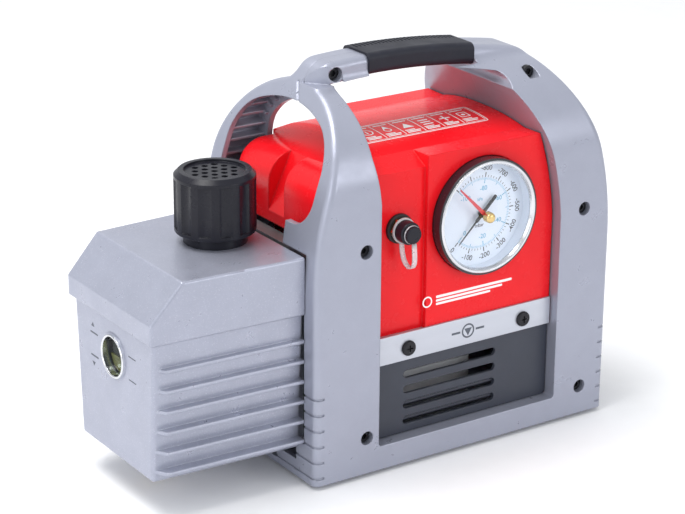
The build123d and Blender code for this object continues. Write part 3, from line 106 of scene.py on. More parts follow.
def wall(bm, a, b):
    """Faces between two closed rows of vertices, which have the same number each."""
    count = len(a)
    for i in range(count):
        j = (i + 1) % count
        bm.faces.new((a[i], a[j], b[j], b[i]))


def closed_band(bm, rows):
    """Walls from each row to the next, and from the last to the first."""
    for a, b in zip(rows, rows[1:] + rows[:1]):
        wall(bm, a, b)


def make_piece(name, bm, material, body, smooth=False):
    """Turns a bmesh into a piece. With body None, the piece is tied to no body."""
    bmesh.ops.recalc_face_normals(bm, faces=bm.faces)
    mesh = bpy.data.meshes.new(name)
    bm.to_mesh(mesh)
    bm.free()
    for face in mesh.polygons:
        face.use_smooth = smooth
    mesh.materials.append(material)
    piece = bpy.data.objects.new(name, mesh)
    bpy.context.scene.collection.objects.link(piece)
    if body:
        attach(piece, body)
    return piece


# ---------------------------------------------------------------- camera

VIEW_AZIMUTH = math.radians(-33.9)
VIEW_ELEVATION = math.radians(20.4)
VIEW_ROLL = math.radians(0.4)
VIEW_DISTANCE = 1.5176
VIEW_LENS = 118.8
VIEW_SENSOR = 36
VIEW_CLIP = (0.05, 50)
VIEW_AIM = Vector((2.55, 3.1, 127.2)) * MM


def make_camera():
    """Camera at the viewing angle, set as the scene's own."""
    level = math.cos(VIEW_ELEVATION)
    back = Vector((math.sin(VIEW_AZIMUTH) * level, -math.cos(VIEW_AZIMUTH) * level,
                   math.sin(VIEW_ELEVATION)))
    right = Vector((math.cos(VIEW_AZIMUTH), math.sin(VIEW_AZIMUTH), 0))
    up = back.cross(right)
    across = right * math.cos(VIEW_ROLL) + up * math.sin(VIEW_ROLL)
    upright = up * math.cos(VIEW_ROLL) - right * math.sin(VIEW_ROLL)
    data = bpy.data.cameras.new("camera")
    data.lens = VIEW_LENS
    data.sensor_width = VIEW_SENSOR
    data.clip_start, data.clip_end = VIEW_CLIP
    camera = bpy.data.objects.new("camera", data)
    turn = Matrix((across, upright, back)).transposed().to_4x4()
    camera.matrix_world = Matrix.Translation(VIEW_AIM + back * VIEW_DISTANCE) @ turn
    bpy.context.scene.collection.objects.link(camera)
    bpy.context.scene.camera = camera


# ---------------------------------------------------------------- light and floor

SKY_COLOR = (0.95, 0.97, 1.0)
SKY_STRENGTH = 0.82
# Name, place, aim, size, power in watts, colour.
LAMPS = (
    ("top_lamp", (-0.45, 0.25, 1.5), (0, 0, 0.1), (1.2, 0.7), 19, (1, 0.99, 0.98)),
    ("left_lamp", (-1.8, -0.7, 0.8), (0, 0, 0.12), (0.9, 1.2), 7, (0.95, 0.97, 1)),
    ("front_lamp", (0.9, -2.0, 0.9), (0, 0, 0.12), (1.1, 0.9), 10, (1, 1, 1)),
)
FLOOR_HALF_SIDE = 6.0
FLOOR_COLOR = (0.93, 0.93, 0.935)


def area_light(name, place, aim, size, power, color):
    """Soft rectangular lamp at place, turned towards aim."""
    data = bpy.data.lights.new(name, "AREA")
    data.shape = "RECTANGLE"
    data.size, data.size_y = size
    data.energy = power
    data.color = color
    lamp = bpy.data.objects.new(name, data)
    lamp.location = place
    lamp.rotation_euler = (Vector(aim) - Vector(place)).to_track_quat("-Z", "Y").to_euler()
    bpy.context.scene.collection.objects.link(lamp)


def make_studio():
    """Even sky light, three soft lamps and a pale floor."""
    world = bpy.data.worlds.new("studio")
    bpy.context.scene.world = world
    world.use_nodes = True
    sky = world.node_tree.nodes["Background"]
    sky.inputs["Color"].default_value = (*SKY_COLOR, 1)
    sky.inputs["Strength"].default_value = SKY_STRENGTH
    for lamp in LAMPS:
        area_light(*lamp)
    bpy.context.scene.view_settings.view_transform = "Standard"
    bm = bmesh.new()
    corners = [bm.verts.new((x * FLOOR_HALF_SIDE, y * FLOOR_HALF_SIDE, 0))
               for x, y in ((-1, -1), (1, -1), (1, 1), (-1, 1))]
    bm.faces.new(corners)
    mesh = bpy.data.meshes.new("floor")
    bm.to_mesh(mesh)
    bm.free()
    floor = bpy.data.objects.new("floor", mesh)
    bpy.context.scene.collection.objects.link(floor)
    mesh.materials.append(make_material("floor_paper", FLOOR_COLOR, 0.8, mottle=0.01, grain=0.02))


# ---------------------------------------------------------------- materials

BEVEL_SAMPLES = 6
EDGE_RADIUS = 0.9 * MM
# How far the rounded normal agrees with the plain one where an edge starts, and where it is full.
EDGE_RANGE = (0.985, 0.8)
# Upward part of the normal where dust starts to settle, and where it is full.
DUST_RANGE = (0.6, 1.0)
DUST_COLOR = (0.42, 0.41, 0.39)
# Painted glints: bright specks in the base colour stand in for light glinting off metal flecks.
GLINT_SIZE = 0.45 * MM
GLINT_COLOR = (0.95, 0.96, 1.0)
PIT_DEPTH_PER_SIZE = 0.15
LOWEST_ROUGHNESS = 0.02


class Nodes:
    """A material's node tree, with short calls for the nodes that the finishes share."""

    def __init__(self, name):
        self.material = bpy.data.materials.new(name)
        self.material.use_nodes = True
        self.tree = self.material.node_tree
        self.shader = self.tree.nodes["Principled BSDF"]
        self.place = self.add("ShaderNodeTexCoord").outputs["Object"]

    def add(self, kind, **values):
        node = self.tree.nodes.new(kind)
        for key, value in values.items():
            setattr(node, key, value)
        return node

    def join(self, source, socket):
        self.tree.links.new(source, socket)

    def stretched(self, scale):
        """Object coordinates scaled along each axis."""
        mapping = self.add("ShaderNodeMapping")
        mapping.inputs["Scale"].default_value = scale
        self.join(self.place, mapping.inputs["Vector"])
        return mapping.outputs["Vector"]

    def noise(self, size, detail=2.0, place=None, rough=0.5):
        """Noise whose features are about size metres across."""
        node = self.add("ShaderNodeTexNoise")
        node.inputs["Scale"].default_value = 1 / size
        node.inputs["Detail"].default_value = detail
        node.inputs["Roughness"].default_value = rough
        self.join(place or self.place, node.inputs["Vector"])
        return node.outputs["Fac"]

    def cells(self, size, output="Distance"):
        """Voronoi cells about size metres across."""
        node = self.add("ShaderNodeTexVoronoi")
        node.inputs["Scale"].default_value = 1 / size
        self.join(self.place, node.inputs["Vector"])
        return node.outputs[output]

    def remap(self, value, low, high, to_low=0.0, to_high=1.0):
        """Carries the range low to high over to the range to_low to to_high."""
        node = self.add("ShaderNodeMapRange")
        sockets = ("From Min", "From Max", "To Min", "To Max")
        for name, number in zip(sockets, (low, high, to_low, to_high)):
            node.inputs[name].default_value = number
        self.join(value, node.inputs["Value"])
        return node.outputs["Result"]

    def times(self, a, b):
        node = self.add("ShaderNodeMath", operation="MULTIPLY")
        self.join(a, node.inputs[0])
        self.join(b, node.inputs[1])
        return node.outputs[0]

    def blend(self, factor, a, b):
        """Colour a where factor is 0 and b where it is 1. Each is a colour or a node's output."""
        node = self.add("ShaderNodeMix", data_type="RGBA")
        self.join(factor, node.inputs["Factor"])
        for socket, value in ((node.inputs[6], a), (node.inputs[7], b)):
            if isinstance(value, tuple):
                socket.default_value = (*value, 1)
            else:
                self.join(value, socket)
        return node.outputs[2]

    def bevel(self, radius):
        """Normal as if every edge were rounded to radius."""
        node = self.add("ShaderNodeBevel", samples=BEVEL_SAMPLES)
        node.inputs["Radius"].default_value = radius
        return node.outputs["Normal"]

    def bump(self, height, strength, distance, normal=None):
        node = self.add("ShaderNodeBump")
        node.inputs["Strength"].default_value = strength
        node.inputs["Distance"].default_value = distance
        self.join(height, node.inputs["Height"])
        if normal is not None:
            self.join(normal, node.inputs["Normal"])
        return node.outputs["Normal"]

    def edges(self):
        """1 on sharp outer and inner edges, and 0 on plain faces."""
        rounded = self.bevel(EDGE_RADIUS)
        plain = self.add("ShaderNodeNewGeometry").outputs["Normal"]
        node = self.add("ShaderNodeVectorMath", operation="DOT_PRODUCT")
        self.join(rounded, node.inputs[0])
        self.join(plain, node.inputs[1])
        return self.remap(node.outputs["Value"], *EDGE_RANGE)

    def let_light_in(self):
        """Glass that is clear to shadow rays, so that what lies behind it is lit."""
        mix = self.add("ShaderNodeMixShader")
        self.join(self.add("ShaderNodeLightPath").outputs["Is Shadow Ray"], mix.inputs["Fac"])
        self.join(self.shader.outputs["BSDF"], mix.inputs[1])
        self.join(self.add("ShaderNodeBsdfTransparent").outputs["BSDF"], mix.inputs[2])
        surface = self.tree.nodes["Material Output"].inputs["Surface"]
        self.join(mix.outputs["Shader"], surface)

    def facing_up(self):
        """1 on level tops, and 0 on walls."""
        plain = self.add("ShaderNodeNewGeometry").outputs["Normal"]
        node = self.add("ShaderNodeSeparateXYZ")
        self.join(plain, node.inputs[0])
        return self.remap(node.outputs["Z"], *DUST_RANGE)


def scaled(color, factor):
    return tuple(min(1.0, c * factor) for c in color)


def make_material(name, color, rough, metal=0.0, mottle=0.05, mottle_size=0.02, rough_vary=0.08,
                  grain=0.15, grain_size=0.0007, grain_depth=0.00008, stretch=(1, 1, 1), pits=0.0,
                  pit_size=0.001, rounding=0.0005, edge_wear_and_highlight=0.0, edge_wear_and_highlight_color=(0.6, 0.6, 0.6), dust=0.0,
                  painted_glint=0.0, coat=0.0, coat_rough=0.1, specular=0.5, sheen=0.0,
                  transmission=0.0, ior=1.45, lets_light_in=False):
    """One procedural finish, with its sizes in metres.

    Its colour is mottled, with dust, painted glints (bright specks standing in for light off metal
    flecks) and lighter edges, partly worn paint and partly a painted highlight, where they are
    asked for. Its gloss is uneven, and its normal has rounded edges, pits and fine grain.
    """
    n = Nodes(name)
    place = n.stretched(stretch)
    patches = n.remap(n.noise(mottle_size, 4.0, place, 0.6), 0.3, 0.7)
    shade = n.blend(patches, scaled(color, 1 - mottle), scaled(color, 1 + mottle))
    # Painted glints: bright specks mixed into the colour, in place of light caught by metal
    # flecks.
    if painted_glint:
        glint_spots = n.remap(n.cells(GLINT_SIZE, "Color"), 0.72, 0.95)
        lit = n.times(glint_spots, n.remap(n.noise(0.0012), 0.35, 0.65, 0, painted_glint))
        shade = n.blend(lit, shade, GLINT_COLOR)
    if dust:
        settled = n.times(n.facing_up(), n.remap(n.noise(0.006, 5.0), 0.42, 0.72, 0, dust))
        shade = n.blend(settled, shade, DUST_COLOR)
    # Lighter edges: partly worn from rubbing, partly a painted highlight where the edges catch the
    # light.
    if edge_wear_and_highlight:
        worn_and_highlit_edges = n.times(n.edges(), n.remap(n.noise(0.004, 5.0), 0.46, 0.64, 0, edge_wear_and_highlight))
        shade = n.blend(worn_and_highlit_edges, shade, edge_wear_and_highlight_color)
    n.join(shade, n.shader.inputs["Base Color"])
    gloss = n.remap(n.noise(0.012, 5.0, place, 0.6), 0.3, 0.7,
                    max(LOWEST_ROUGHNESS, rough - rough_vary), rough + rough_vary)
    n.join(gloss, n.shader.inputs["Roughness"])
    normal = n.bevel(rounding) if rounding else None
    if pits:
        normal = n.bump(n.cells(pit_size), pits, pit_size * PIT_DEPTH_PER_SIZE, normal)
    normal = n.bump(n.noise(grain_size, 3.0, place), grain, grain_depth, normal)
    n.join(normal, n.shader.inputs["Normal"])
    for socket, value in (("Metallic", metal), ("Specular IOR Level", specular),
                          ("Coat Weight", coat), ("Coat Roughness", coat_rough),
                          ("Sheen Weight", sheen), ("IOR", ior),
                          ("Transmission Weight", transmission)):
        n.shader.inputs[socket].default_value = value
    if lets_light_in:
        n.let_light_in()
    return n.material


SILVER = (0.34, 0.355, 0.43)
FINISHES = {
    # Lighter bluish edges on the silver finishes: partly worn paint, partly a painted highlight.
    "silver_plastic": dict(
        color=SILVER, rough=0.34, metal=0.4, mottle=0.025, grain=0.16, grain_size=0.0009,
        edge_wear_and_highlight=0.25, edge_wear_and_highlight_color=(0.6, 0.63, 0.7), painted_glint=0.05, rounding=0.0012),
    "silver_casting": dict(
        color=scaled(SILVER, 1.06), rough=0.34, metal=0.45, mottle=0.035, grain=0.35,
        grain_size=0.0011, grain_depth=0.00012, pits=0.10, pit_size=0.0014, edge_wear_and_highlight=0.5,
        edge_wear_and_highlight_color=(0.72, 0.75, 0.82), painted_glint=0.30, rounding=0.0012),
    "red_cover": dict(
        color=(0.80, 0.008, 0.014), rough=0.26, mottle=0.02, rough_vary=0.04, grain=0.04,
        grain_size=0.004, specular=0.25, coat=0.04, coat_rough=0.08, rounding=0.0014),
    "dark_panel": dict(
        color=(0.036, 0.041, 0.058), rough=0.42, mottle=0.06, grain=0.25, grain_size=0.0008,
        dust=0.12, rounding=0.0006),
    "label_strip": dict(
        color=(0.52, 0.54, 0.6), rough=0.36, metal=0.55, mottle=0.03, mottle_size=0.008,
        grain=0.12, grain_size=0.0012, stretch=(0.04, 1, 1), rounding=0.0003),
    "grip_rubber": dict(
        color=(0.016, 0.017, 0.026), rough=0.5, mottle=0.12, grain=0.3, grain_size=0.0007,
        dust=0.03, specular=0.3, rounding=0.0009),
    "foot_rubber": dict(color=(0.02, 0.02, 0.022), rough=0.7, mottle=0.12, grain=0.35, dust=0.25),
    "seal_rubber": dict(color=(0.016, 0.016, 0.018), rough=0.55, mottle=0.12, grain=0.2),
    "black_screw": dict(
        color=(0.022, 0.022, 0.026), rough=0.32, metal=0.6, mottle=0.15, grain=0.15, edge_wear_and_highlight=0.5,
        edge_wear_and_highlight_color=(0.25, 0.25, 0.26), rounding=0.0003),
    "gauge_black": dict(
        color=(0.014, 0.014, 0.02), rough=0.22, mottle=0.08, grain=0.06, grain_size=0.002,
        coat=0.3, edge_wear_and_highlight=0.12, edge_wear_and_highlight_color=(0.1, 0.1, 0.12)),
    "bezel_steel": dict(
        color=(0.68, 0.69, 0.72), rough=0.17, metal=1.0, mottle=0.03, grain=0.04,
        grain_size=0.0006, rough_vary=0.05, rounding=0.0004),
    "window_glass": dict(
        color=(0.97, 0.98, 1.0), rough=0.04, mottle=0.005, rough_vary=0.02, grain=0.01,
        grain_size=0.01, transmission=1.0, rounding=0.0, lets_light_in=True),
    "dial_white": dict(
        color=(0.80, 0.86, 0.95), rough=0.45, mottle=0.012, grain=0.03, grain_size=0.001,
        rounding=0.0),
    "needle_black": dict(
        color=(0.006, 0.006, 0.012), rough=0.45, specular=0.3, mottle=0.1, grain=0.05,
        rounding=0.0002),
    "pointer_red": dict(
        color=(0.72, 0.03, 0.05), rough=0.35, mottle=0.04, grain=0.05, rounding=0.0002),
    "brass": dict(
        color=(0.72, 0.53, 0.24), rough=0.24, metal=1.0, mottle=0.08, mottle_size=0.006,
        grain=0.08, edge_wear_and_highlight=0.2, edge_wear_and_highlight_color=(0.85, 0.7, 0.42), rounding=0.0004),
    "black_plastic": dict(
        color=(0.011, 0.011, 0.017), rough=0.3, mottle=0.08, grain=0.14, grain_size=0.0009,
        specular=0.3, edge_wear_and_highlight=0.1, edge_wear_and_highlight_color=(0.09, 0.09, 0.11), rounding=0.0008),
    "clear_strap": dict(
        color=(0.86, 0.84, 0.86), rough=0.3, mottle=0.03, grain=0.06, transmission=0.5,
        rounding=0.0002),
    "cast_iron": dict(
        color=(0.20, 0.20, 0.21), rough=0.5, metal=0.85, mottle=0.12, grain=0.3, pits=0.15,
        edge_wear_and_highlight=0.3, edge_wear_and_highlight_color=(0.5, 0.5, 0.5)),
    "steel": dict(
        color=(0.52, 0.52, 0.54), rough=0.28, metal=1.0, mottle=0.05, grain=0.12,
        grain_size=0.0006, stretch=(0.08, 1, 1), rounding=0.0003),
    "vane_fibre": dict(
        color=(0.16, 0.09, 0.04), rough=0.55, mottle=0.18, mottle_size=0.003, grain=0.3,
        stretch=(0.15, 1, 1), rounding=0.0002),
    "gasket_paper": dict(
        color=(0.06, 0.085, 0.07), rough=0.8, mottle=0.15, mottle_size=0.003, grain=0.3,
        rounding=0.0),
    "filter_felt": dict(
        color=(0.62, 0.6, 0.52), rough=0.95, mottle=0.12, mottle_size=0.003, grain=0.8,
        grain_size=0.0005, grain_depth=0.0003, sheen=0.3, rounding=0.0),
    "sight_glass": dict(
        color=(0.62, 0.68, 0.64), rough=0.05, mottle=0.01, rough_vary=0.03, grain=0.02,
        grain_size=0.008, transmission=1.0, ior=1.12, rounding=0.0, lets_light_in=True),
    "motor_aluminium": dict(
        color=(0.55, 0.56, 0.58), rough=0.45, metal=0.9, mottle=0.06, grain=0.3, pits=0.1),
    "lamination": dict(
        color=(0.22, 0.22, 0.235), rough=0.45, metal=0.9, mottle=0.15, mottle_size=0.0007,
        grain=0.6, grain_size=0.0006, stretch=(1, 0.02, 0.02), rounding=0.0),
    "copper": dict(
        color=(0.62, 0.24, 0.1), rough=0.3, metal=0.85, mottle=0.12, mottle_size=0.002,
        grain=0.7, grain_size=0.0009, grain_depth=0.0003, stretch=(1, 0.1, 0.1), coat=0.5),
    "rotor_cage": dict(
        color=(0.32, 0.32, 0.34), rough=0.4, metal=0.9, mottle=0.08, grain=0.3,
        stretch=(0.1, 1, 1)),
    "spider": dict(color=(0.42, 0.035, 0.02), rough=0.5, mottle=0.1, grain=0.2),
    "can_aluminium": dict(
        color=(0.68, 0.68, 0.7), rough=0.25, metal=1.0, mottle=0.04, grain=0.1,
        stretch=(0.1, 1, 1)),
}
INKS = {
    "black": dict(color=(0.02, 0.02, 0.03), rough=0.5, mottle=0.1, grain=0.02, rounding=0.0),
    "blue": dict(color=(0.10, 0.42, 0.62), rough=0.5, mottle=0.08, grain=0.02, rounding=0.0),
    "white": dict(color=(0.88, 0.86, 0.86), rough=0.45, mottle=0.04, grain=0.02, rounding=0.0),
    "grey": dict(color=(0.085, 0.095, 0.12), rough=0.5, mottle=0.08, grain=0.02, rounding=0.0),
}
OIL = dict(color=(0.30, 0.27, 0.10), rough=0.15, mottle=0.25, mottle_size=0.008, grain=0.03,
           rounding=0.0, coat=0.3)
# Painted shade: a near-black disc behind the oil stands for the unlit inside of the casing.
SHADE_DISC = dict(color=(0.02, 0.022, 0.025), rough=0.3, mottle=0.3, mottle_size=0.006, grain=0.1,
               rounding=0.0)


def finish_cad_nodes():
    """Every CAD node keeps its slots, each with the finish of that name."""
    made = {name: make_material(name + "_finish", **values) for name, values in FINISHES.items()}
    for node in nodes.values():
        for slot in node.material_slots:
            slot.material = made[slot.material.name.split(".")[0]]
    return made


# ---------------------------------------------------------------- printed marks

FONT_SIZE_PER_HEIGHT = 1.42
BOLDNESS_PER_HEIGHT = 0.012
DRAPE_STEP = 2.0
DRAPE_CUTS = 4
DRAPE_START = 20


class Print:
    """Flat marks of one ink on one plane, each a thin raised layer. Lengths are in millimetres."""

    THICK = 0.05

    def __init__(self, origin, right, up):
        self.origin = Vector(origin)
        self.right = Vector(right)
        self.up = Vector(up)
        self.out = self.right.cross(self.up)
        self.bm = bmesh.new()

    def point(self, x, y, lift=0.0):
        return self.origin + (self.right * x + self.up * y + self.out * lift) * MM

    def patch(self, outline):
        """Filled outline."""
        base = [self.bm.verts.new(self.point(x, y)) for x, y in outline]
        top = [self.bm.verts.new(self.point(x, y, self.THICK)) for x, y in outline]
        self.bm.faces.new(top)
        self.bm.faces.new(base[::-1])
        wall(self.bm, base, top)

    def loop(self, outer, inner):
        """Band between two outlines with the same number of points."""
        sides = ((outer, 0), (outer, self.THICK), (inner, self.THICK), (inner, 0))
        closed_band(self.bm, [[self.bm.verts.new(self.point(x, y, lift)) for x, y in outline]
                              for outline, lift in sides])

    def line(self, x0, y0, x1, y1, width):
        along = Vector((x1 - x0, y1 - y0)).normalized() * width / 2
        side = Vector((-along.y, along.x))
        self.patch([(x0 - side.x, y0 - side.y), (x1 - side.x, y1 - side.y),
                    (x1 + side.x, y1 + side.y), (x0 + side.x, y0 + side.y)])

    def disc(self, x, y, radius):
        self.patch(circle(x, y, radius))

    def ring(self, x, y, radius, width):
        self.loop(circle(x, y, radius), circle(x, y, radius - width))

    def frame(self, x0, y0, x1, y1, width, corner):
        """Rectangular line whose outer corners have the radius corner."""
        outer = rounded_box(x0, y0, x1, y1, corner)
        inner = rounded_box(x0 + width, y0 + width, x1 - width, y1 - width,
                            max(0.1, corner - width))
        self.loop(outer, inner)

    def text(self, words, x, y, height, turn=0.0):
        """Plain figures or a unit, centred on x, y and turned by an angle in degrees."""
        curve = bpy.data.curves.new("figures", "FONT")
        curve.body = words
        curve.size = height * FONT_SIZE_PER_HEIGHT * MM
        curve.align_x = "CENTER"
        curve.align_y = "CENTER"
        curve.extrude = self.THICK / 2 * MM
        curve.offset = height * BOLDNESS_PER_HEIGHT * MM
        holder = bpy.data.objects.new("figures", curve)
        bpy.context.scene.collection.objects.link(holder)
        bpy.context.view_layer.update()
        mesh = bpy.data.meshes.new_from_object(holder)
        basis = Matrix((self.right, self.up, self.out)).transposed().to_4x4()
        place = Matrix.Translation(self.point(x, y, self.THICK / 2)) @ basis
        mesh.transform(place @ Matrix.Rotation(math.radians(turn), 4, "Z"))
        self.bm.from_mesh(mesh)
        bpy.data.objects.remove(holder)
        bpy.data.meshes.remove(mesh)

    def drape(self, node, lift):
        """Lays the marks down on a curved CAD surface, with the layer's base lift above it."""
        for _ in range(DRAPE_CUTS):
            long = [edge for edge in self.bm.edges if edge.calc_length() > DRAPE_STEP * MM]
            if long:
                bmesh.ops.subdivide_edges(self.bm, edges=long, cuts=1)
        for vert in self.bm.verts:
            height = (vert.co - self.origin).dot(self.out)
            ground = surface_point(node, vert.co + self.out * DRAPE_START * MM, -self.out)
            vert.co = ground + self.out * (height + lift * MM)

    def finish(self, name, material, slot):
        make_piece(name, self.bm, material, "pump_body")


# ---------------------------------------------------------------- gauge dial

SCALE_START = 225.0
SCALE_STEP = 27.0
SCALE_STEPS = 10
BLACK_PER_STEP = 5
BLUE_PER_STEP = 10
# Each tick's inner radius, outer radius and width.
BLACK_LONG = (24.7, 28.0, 0.7)
BLACK_SHORT = (24.7, 26.1, 0.34)
BLUE_LONG = (20.4, 24.4, 0.55)
BLUE_MIDDLE = (21.4, 24.4, 0.35)
BLUE_SHORT = (22.9, 24.4, 0.28)
BLACK_FIGURES_RADIUS = 31.0
BLACK_FIGURES_HEIGHT = 3.5
BLUE_FIGURES_RADIUS = 17.0
BLUE_FIGURES_HEIGHT = 3.1
# The dial's face is found this far above its centre, clear of the needle's hole.
FACE_PROBE = 10


def dial_marks(inks):
    """Outer black scale from 0 to -1000 and inner blue scale from 0 to -100."""
    centre = middle("gauge_dial")
    aside = FACE_PROBE * MM
    face = surface_point("gauge_dial", (centre.x, cad_low.y, centre.z + aside), Y_AXIS)
    face = face - Z_AXIS * FACE_PROBE * MM
    black = Print(face, X_AXIS, Z_AXIS)
    blue = Print(face, X_AXIS, Z_AXIS)

    def tick(ink, degrees, inner, outer, width):
        a = math.radians(degrees)
        ink.line(inner * math.cos(a), inner * math.sin(a),
                 outer * math.cos(a), outer * math.sin(a), width)

    for i in range(SCALE_STEPS * BLACK_PER_STEP + 1):
        kind = BLACK_LONG if i % BLACK_PER_STEP == 0 else BLACK_SHORT
        tick(black, SCALE_START + i * SCALE_STEP / BLACK_PER_STEP, *kind)
    for i in range(SCALE_STEPS * BLUE_PER_STEP + 1):
        if i % (2 * BLUE_PER_STEP) == 0:
            kind = BLUE_LONG
        elif i % BLUE_PER_STEP == 0:
            kind = BLUE_MIDDLE
        else:
            kind = BLUE_SHORT
        tick(blue, SCALE_START + i * SCALE_STEP / BLUE_PER_STEP, *kind)
    for i in range(SCALE_STEPS + 1):
        degrees = SCALE_START + i * SCALE_STEP
        a = math.radians(degrees)
        turn = degrees + 90 if i < SCALE_STEPS / 2 else degrees - 90
        black.text(f"-{100 * i}" if i else "0", BLACK_FIGURES_RADIUS * math.cos(a),
                   BLACK_FIGURES_RADIUS * math.sin(a), BLACK_FIGURES_HEIGHT, turn)
    for i in range(0, SCALE_STEPS + 1, 2):
        a = math.radians(SCALE_START + i * SCALE_STEP)
        blue.text(f"-{10 * i}" if i else "0", BLUE_FIGURES_RADIUS * math.cos(a),
                  BLUE_FIGURES_RADIUS * math.sin(a), BLUE_FIGURES_HEIGHT)
    black.text("mbar", 0, -8.6, 2.4)
    blue.text("kPa", 0, 9.5, 2.2)
    black.finish("dial_marks_black", inks["black"], "needle_black")
    blue.finish("dial_marks_blue", inks["blue"], "dial_white")


# ---------------------------------------------------------------- marks on the body

MARK_LEFT_OF_GAUGE = 10
MARK_BELOW_GAUGE = 53.4
# Left, bottom, right, top and corner radius.
MARK_BARS = ((-26, 1.3, 37, 3.1, 0.8), (-26, -1.2, 29, 0.4, 0.7), (-26, -3.6, 19, -2.0, 0.7))


def front_mark(inks):
    """Plain white mark under the gauge: a ring and three bars."""
    gauge = middle("gauge_bezel")
    x = gauge.x - MARK_LEFT_OF_GAUGE * MM
    z = gauge.z - MARK_BELOW_GAUGE * MM
    y = surface_point("motor_cover", (x, cad_low.y - JUST_OUTSIDE, z), Y_AXIS).y
    ink = Print((x, y, z), X_AXIS, Z_AXIS)
    ink.ring(-33, 0, 3.9, 1.0)
    for bar in MARK_BARS:
        ink.patch(rounded_box(*bar))
    ink.finish("front_mark", inks["white"], "dial_white")


STRIP_MARK_RIGHT = 2.8
STRIP_LINE = (6.4, 13.5)


def strip_mark(inks):
    """Pump symbol on the label strip: a triangle in a circle between two lines."""
    low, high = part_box("label_strip")
    ink = Print(((low.x + high.x) / 2 + STRIP_MARK_RIGHT * MM, low.y, (low.z + high.z) / 2),
                X_AXIS, Z_AXIS)
    ink.ring(0, 0, 5.2, 1.2)
    ink.patch([(0, -3.6), (3.1, 1.9), (-3.1, 1.9)])
    start, end = STRIP_LINE
    for side in (-1, 1):
        ink.line(side * start, 0, side * end, 0, 1.5)
    ink.finish("strip_mark", inks["grey"], "gauge_black")


LABEL_FROM_RIGHT = 80
LABEL_FROM_FRONT = 47.5
LABEL_HALF = 50.0
LABEL_DEPTH = 14.0
LABEL_INSET = 1.6
LABEL_MARGIN = 3
LABEL_CELLS = 6
LABEL_LIFT = 0.08
# Short bars that stand for words in each cell: bottom, and reach right of the cell's centre.
LABEL_WORDS = ((-10.2, 4.6), (-8.4, 5.6), (-6.6, 2.2), (9.0, 5.0))
LABEL_WORD_LEFT = 5.6
LABEL_WORD_HEIGHT = 1.1


def top_label(inks):
    """White line label with six plain symbols on the top of the cover."""
    cover_low, cover_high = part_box("motor_cover")
    middle_x = cover_high.x - LABEL_FROM_RIGHT * MM
    middle_y = cover_low.y + LABEL_FROM_FRONT * MM
    top = surface_point("motor_cover", (middle_x, middle_y, cover_high.z + 20 * MM), -Z_AXIS)
    ink = Print(top, X_AXIS, Y_AXIS)
    half, depth, inset = LABEL_HALF, LABEL_DEPTH, LABEL_INSET
    ink.frame(-half, -depth, half, depth, 0.8, 2.0)
    ink.frame(-half + inset, -depth + inset, half - inset, depth - inset, 0.4, 1.2)
    cell = (2 * half - 2 * LABEL_MARGIN) / LABEL_CELLS
    for i in range(1, LABEL_CELLS):
        x = -half + LABEL_MARGIN + cell * i
        ink.line(x, -depth + LABEL_MARGIN, x, depth - LABEL_MARGIN, 0.6)
    centres = [-half + LABEL_MARGIN + cell * (i + 0.5) for i in range(LABEL_CELLS)]
    meter, drop, cone, bars, plus, socket = centres
    ink.ring(meter, 1.5, 4.6, 0.8)
    ink.line(meter, -0.6, meter, 3.6, 0.9)
    ink.ring(drop, 0, 3.0, 0.8)
    ink.patch([(drop - 2.2, 2.6), (drop + 2.2, 2.6), (drop, 7.2)])
    ink.patch([(cone - 4.2, -2.4), (cone + 4.2, -2.4), (cone, 5.2)])
    for low, high in ((-3.2, -1.8), (0.4, 1.8), (4.0, 5.4)):
        ink.patch(rounded_box(bars - 4, low, bars + 4, high, 0.6))
    ink.line(plus, -3.4, plus, 5.6, 1.3)
    ink.line(plus - 4.2, 1.2, plus + 4.2, 1.2, 1.3)
    ink.frame(socket - 3.8, -3, socket + 3.8, 5.4, 0.8, 1.0)
    ink.disc(socket, 1.2, 1.5)
    for x in centres:
        for y, end in LABEL_WORDS:
            ink.patch(rounded_box(x - LABEL_WORD_LEFT, y, x + end, y + LABEL_WORD_HEIGHT, 0.4))
    ink.drape("motor_cover", LABEL_LIFT)
    ink.finish("top_label", inks["white"], "dial_white")


LEVELS = (7.0, -9.0)
LEVEL_PROBE = 24
# Left end, right end, half height and corner radius of the line on each side of the glass.
LEVEL_LINES = ((-31, -21, 0.6, 0.4), (19.5, 29, 0.4, 0.3))
ARROW_X = -27.5
ARROW_UP = 12.5
ARROW_DOWN = -14.5
ARROW_HALF = 2.2
ARROW_FOOT = 1.2
ARROW_TIP = 1.8


def level_marks(inks):
    """Short level lines on both sides of the sight glass, and an arrow above and one below."""
    centre = middle("sight_glass_ring")
    beside = (cad_low.x - JUST_OUTSIDE, centre.y + LEVEL_PROBE * MM, centre.z)
    x = surface_point("oil_casing", beside, X_AXIS).x
    ink = Print((x, centre.y, centre.z), -Y_AXIS, Z_AXIS)
    for z in LEVELS:
        for start, end, half, corner in LEVEL_LINES:
            ink.patch(rounded_box(start, z - half, end, z + half, corner))
    left, right = ARROW_X - ARROW_HALF, ARROW_X + ARROW_HALF
    ink.patch([(left, ARROW_UP - ARROW_FOOT), (right, ARROW_UP - ARROW_FOOT),
               (ARROW_X, ARROW_UP + ARROW_TIP)])
    ink.patch([(left, ARROW_DOWN + ARROW_FOOT), (ARROW_X, ARROW_DOWN - ARROW_TIP),
               (right, ARROW_DOWN + ARROW_FOOT)])
    ink.finish("level_marks", inks["grey"], "gauge_black")


# ---------------------------------------------------------------- sight glass filling

OIL_RADIUS = 12.6 * MM
OIL_DEPTH = 0.8 * MM
OIL_LEVEL = -2.5 * MM
OIL_BEHIND_LENS = 0.15 * MM
SHADE_DISC_GAP = 0.1 * MM
OIL_STEPS = 36


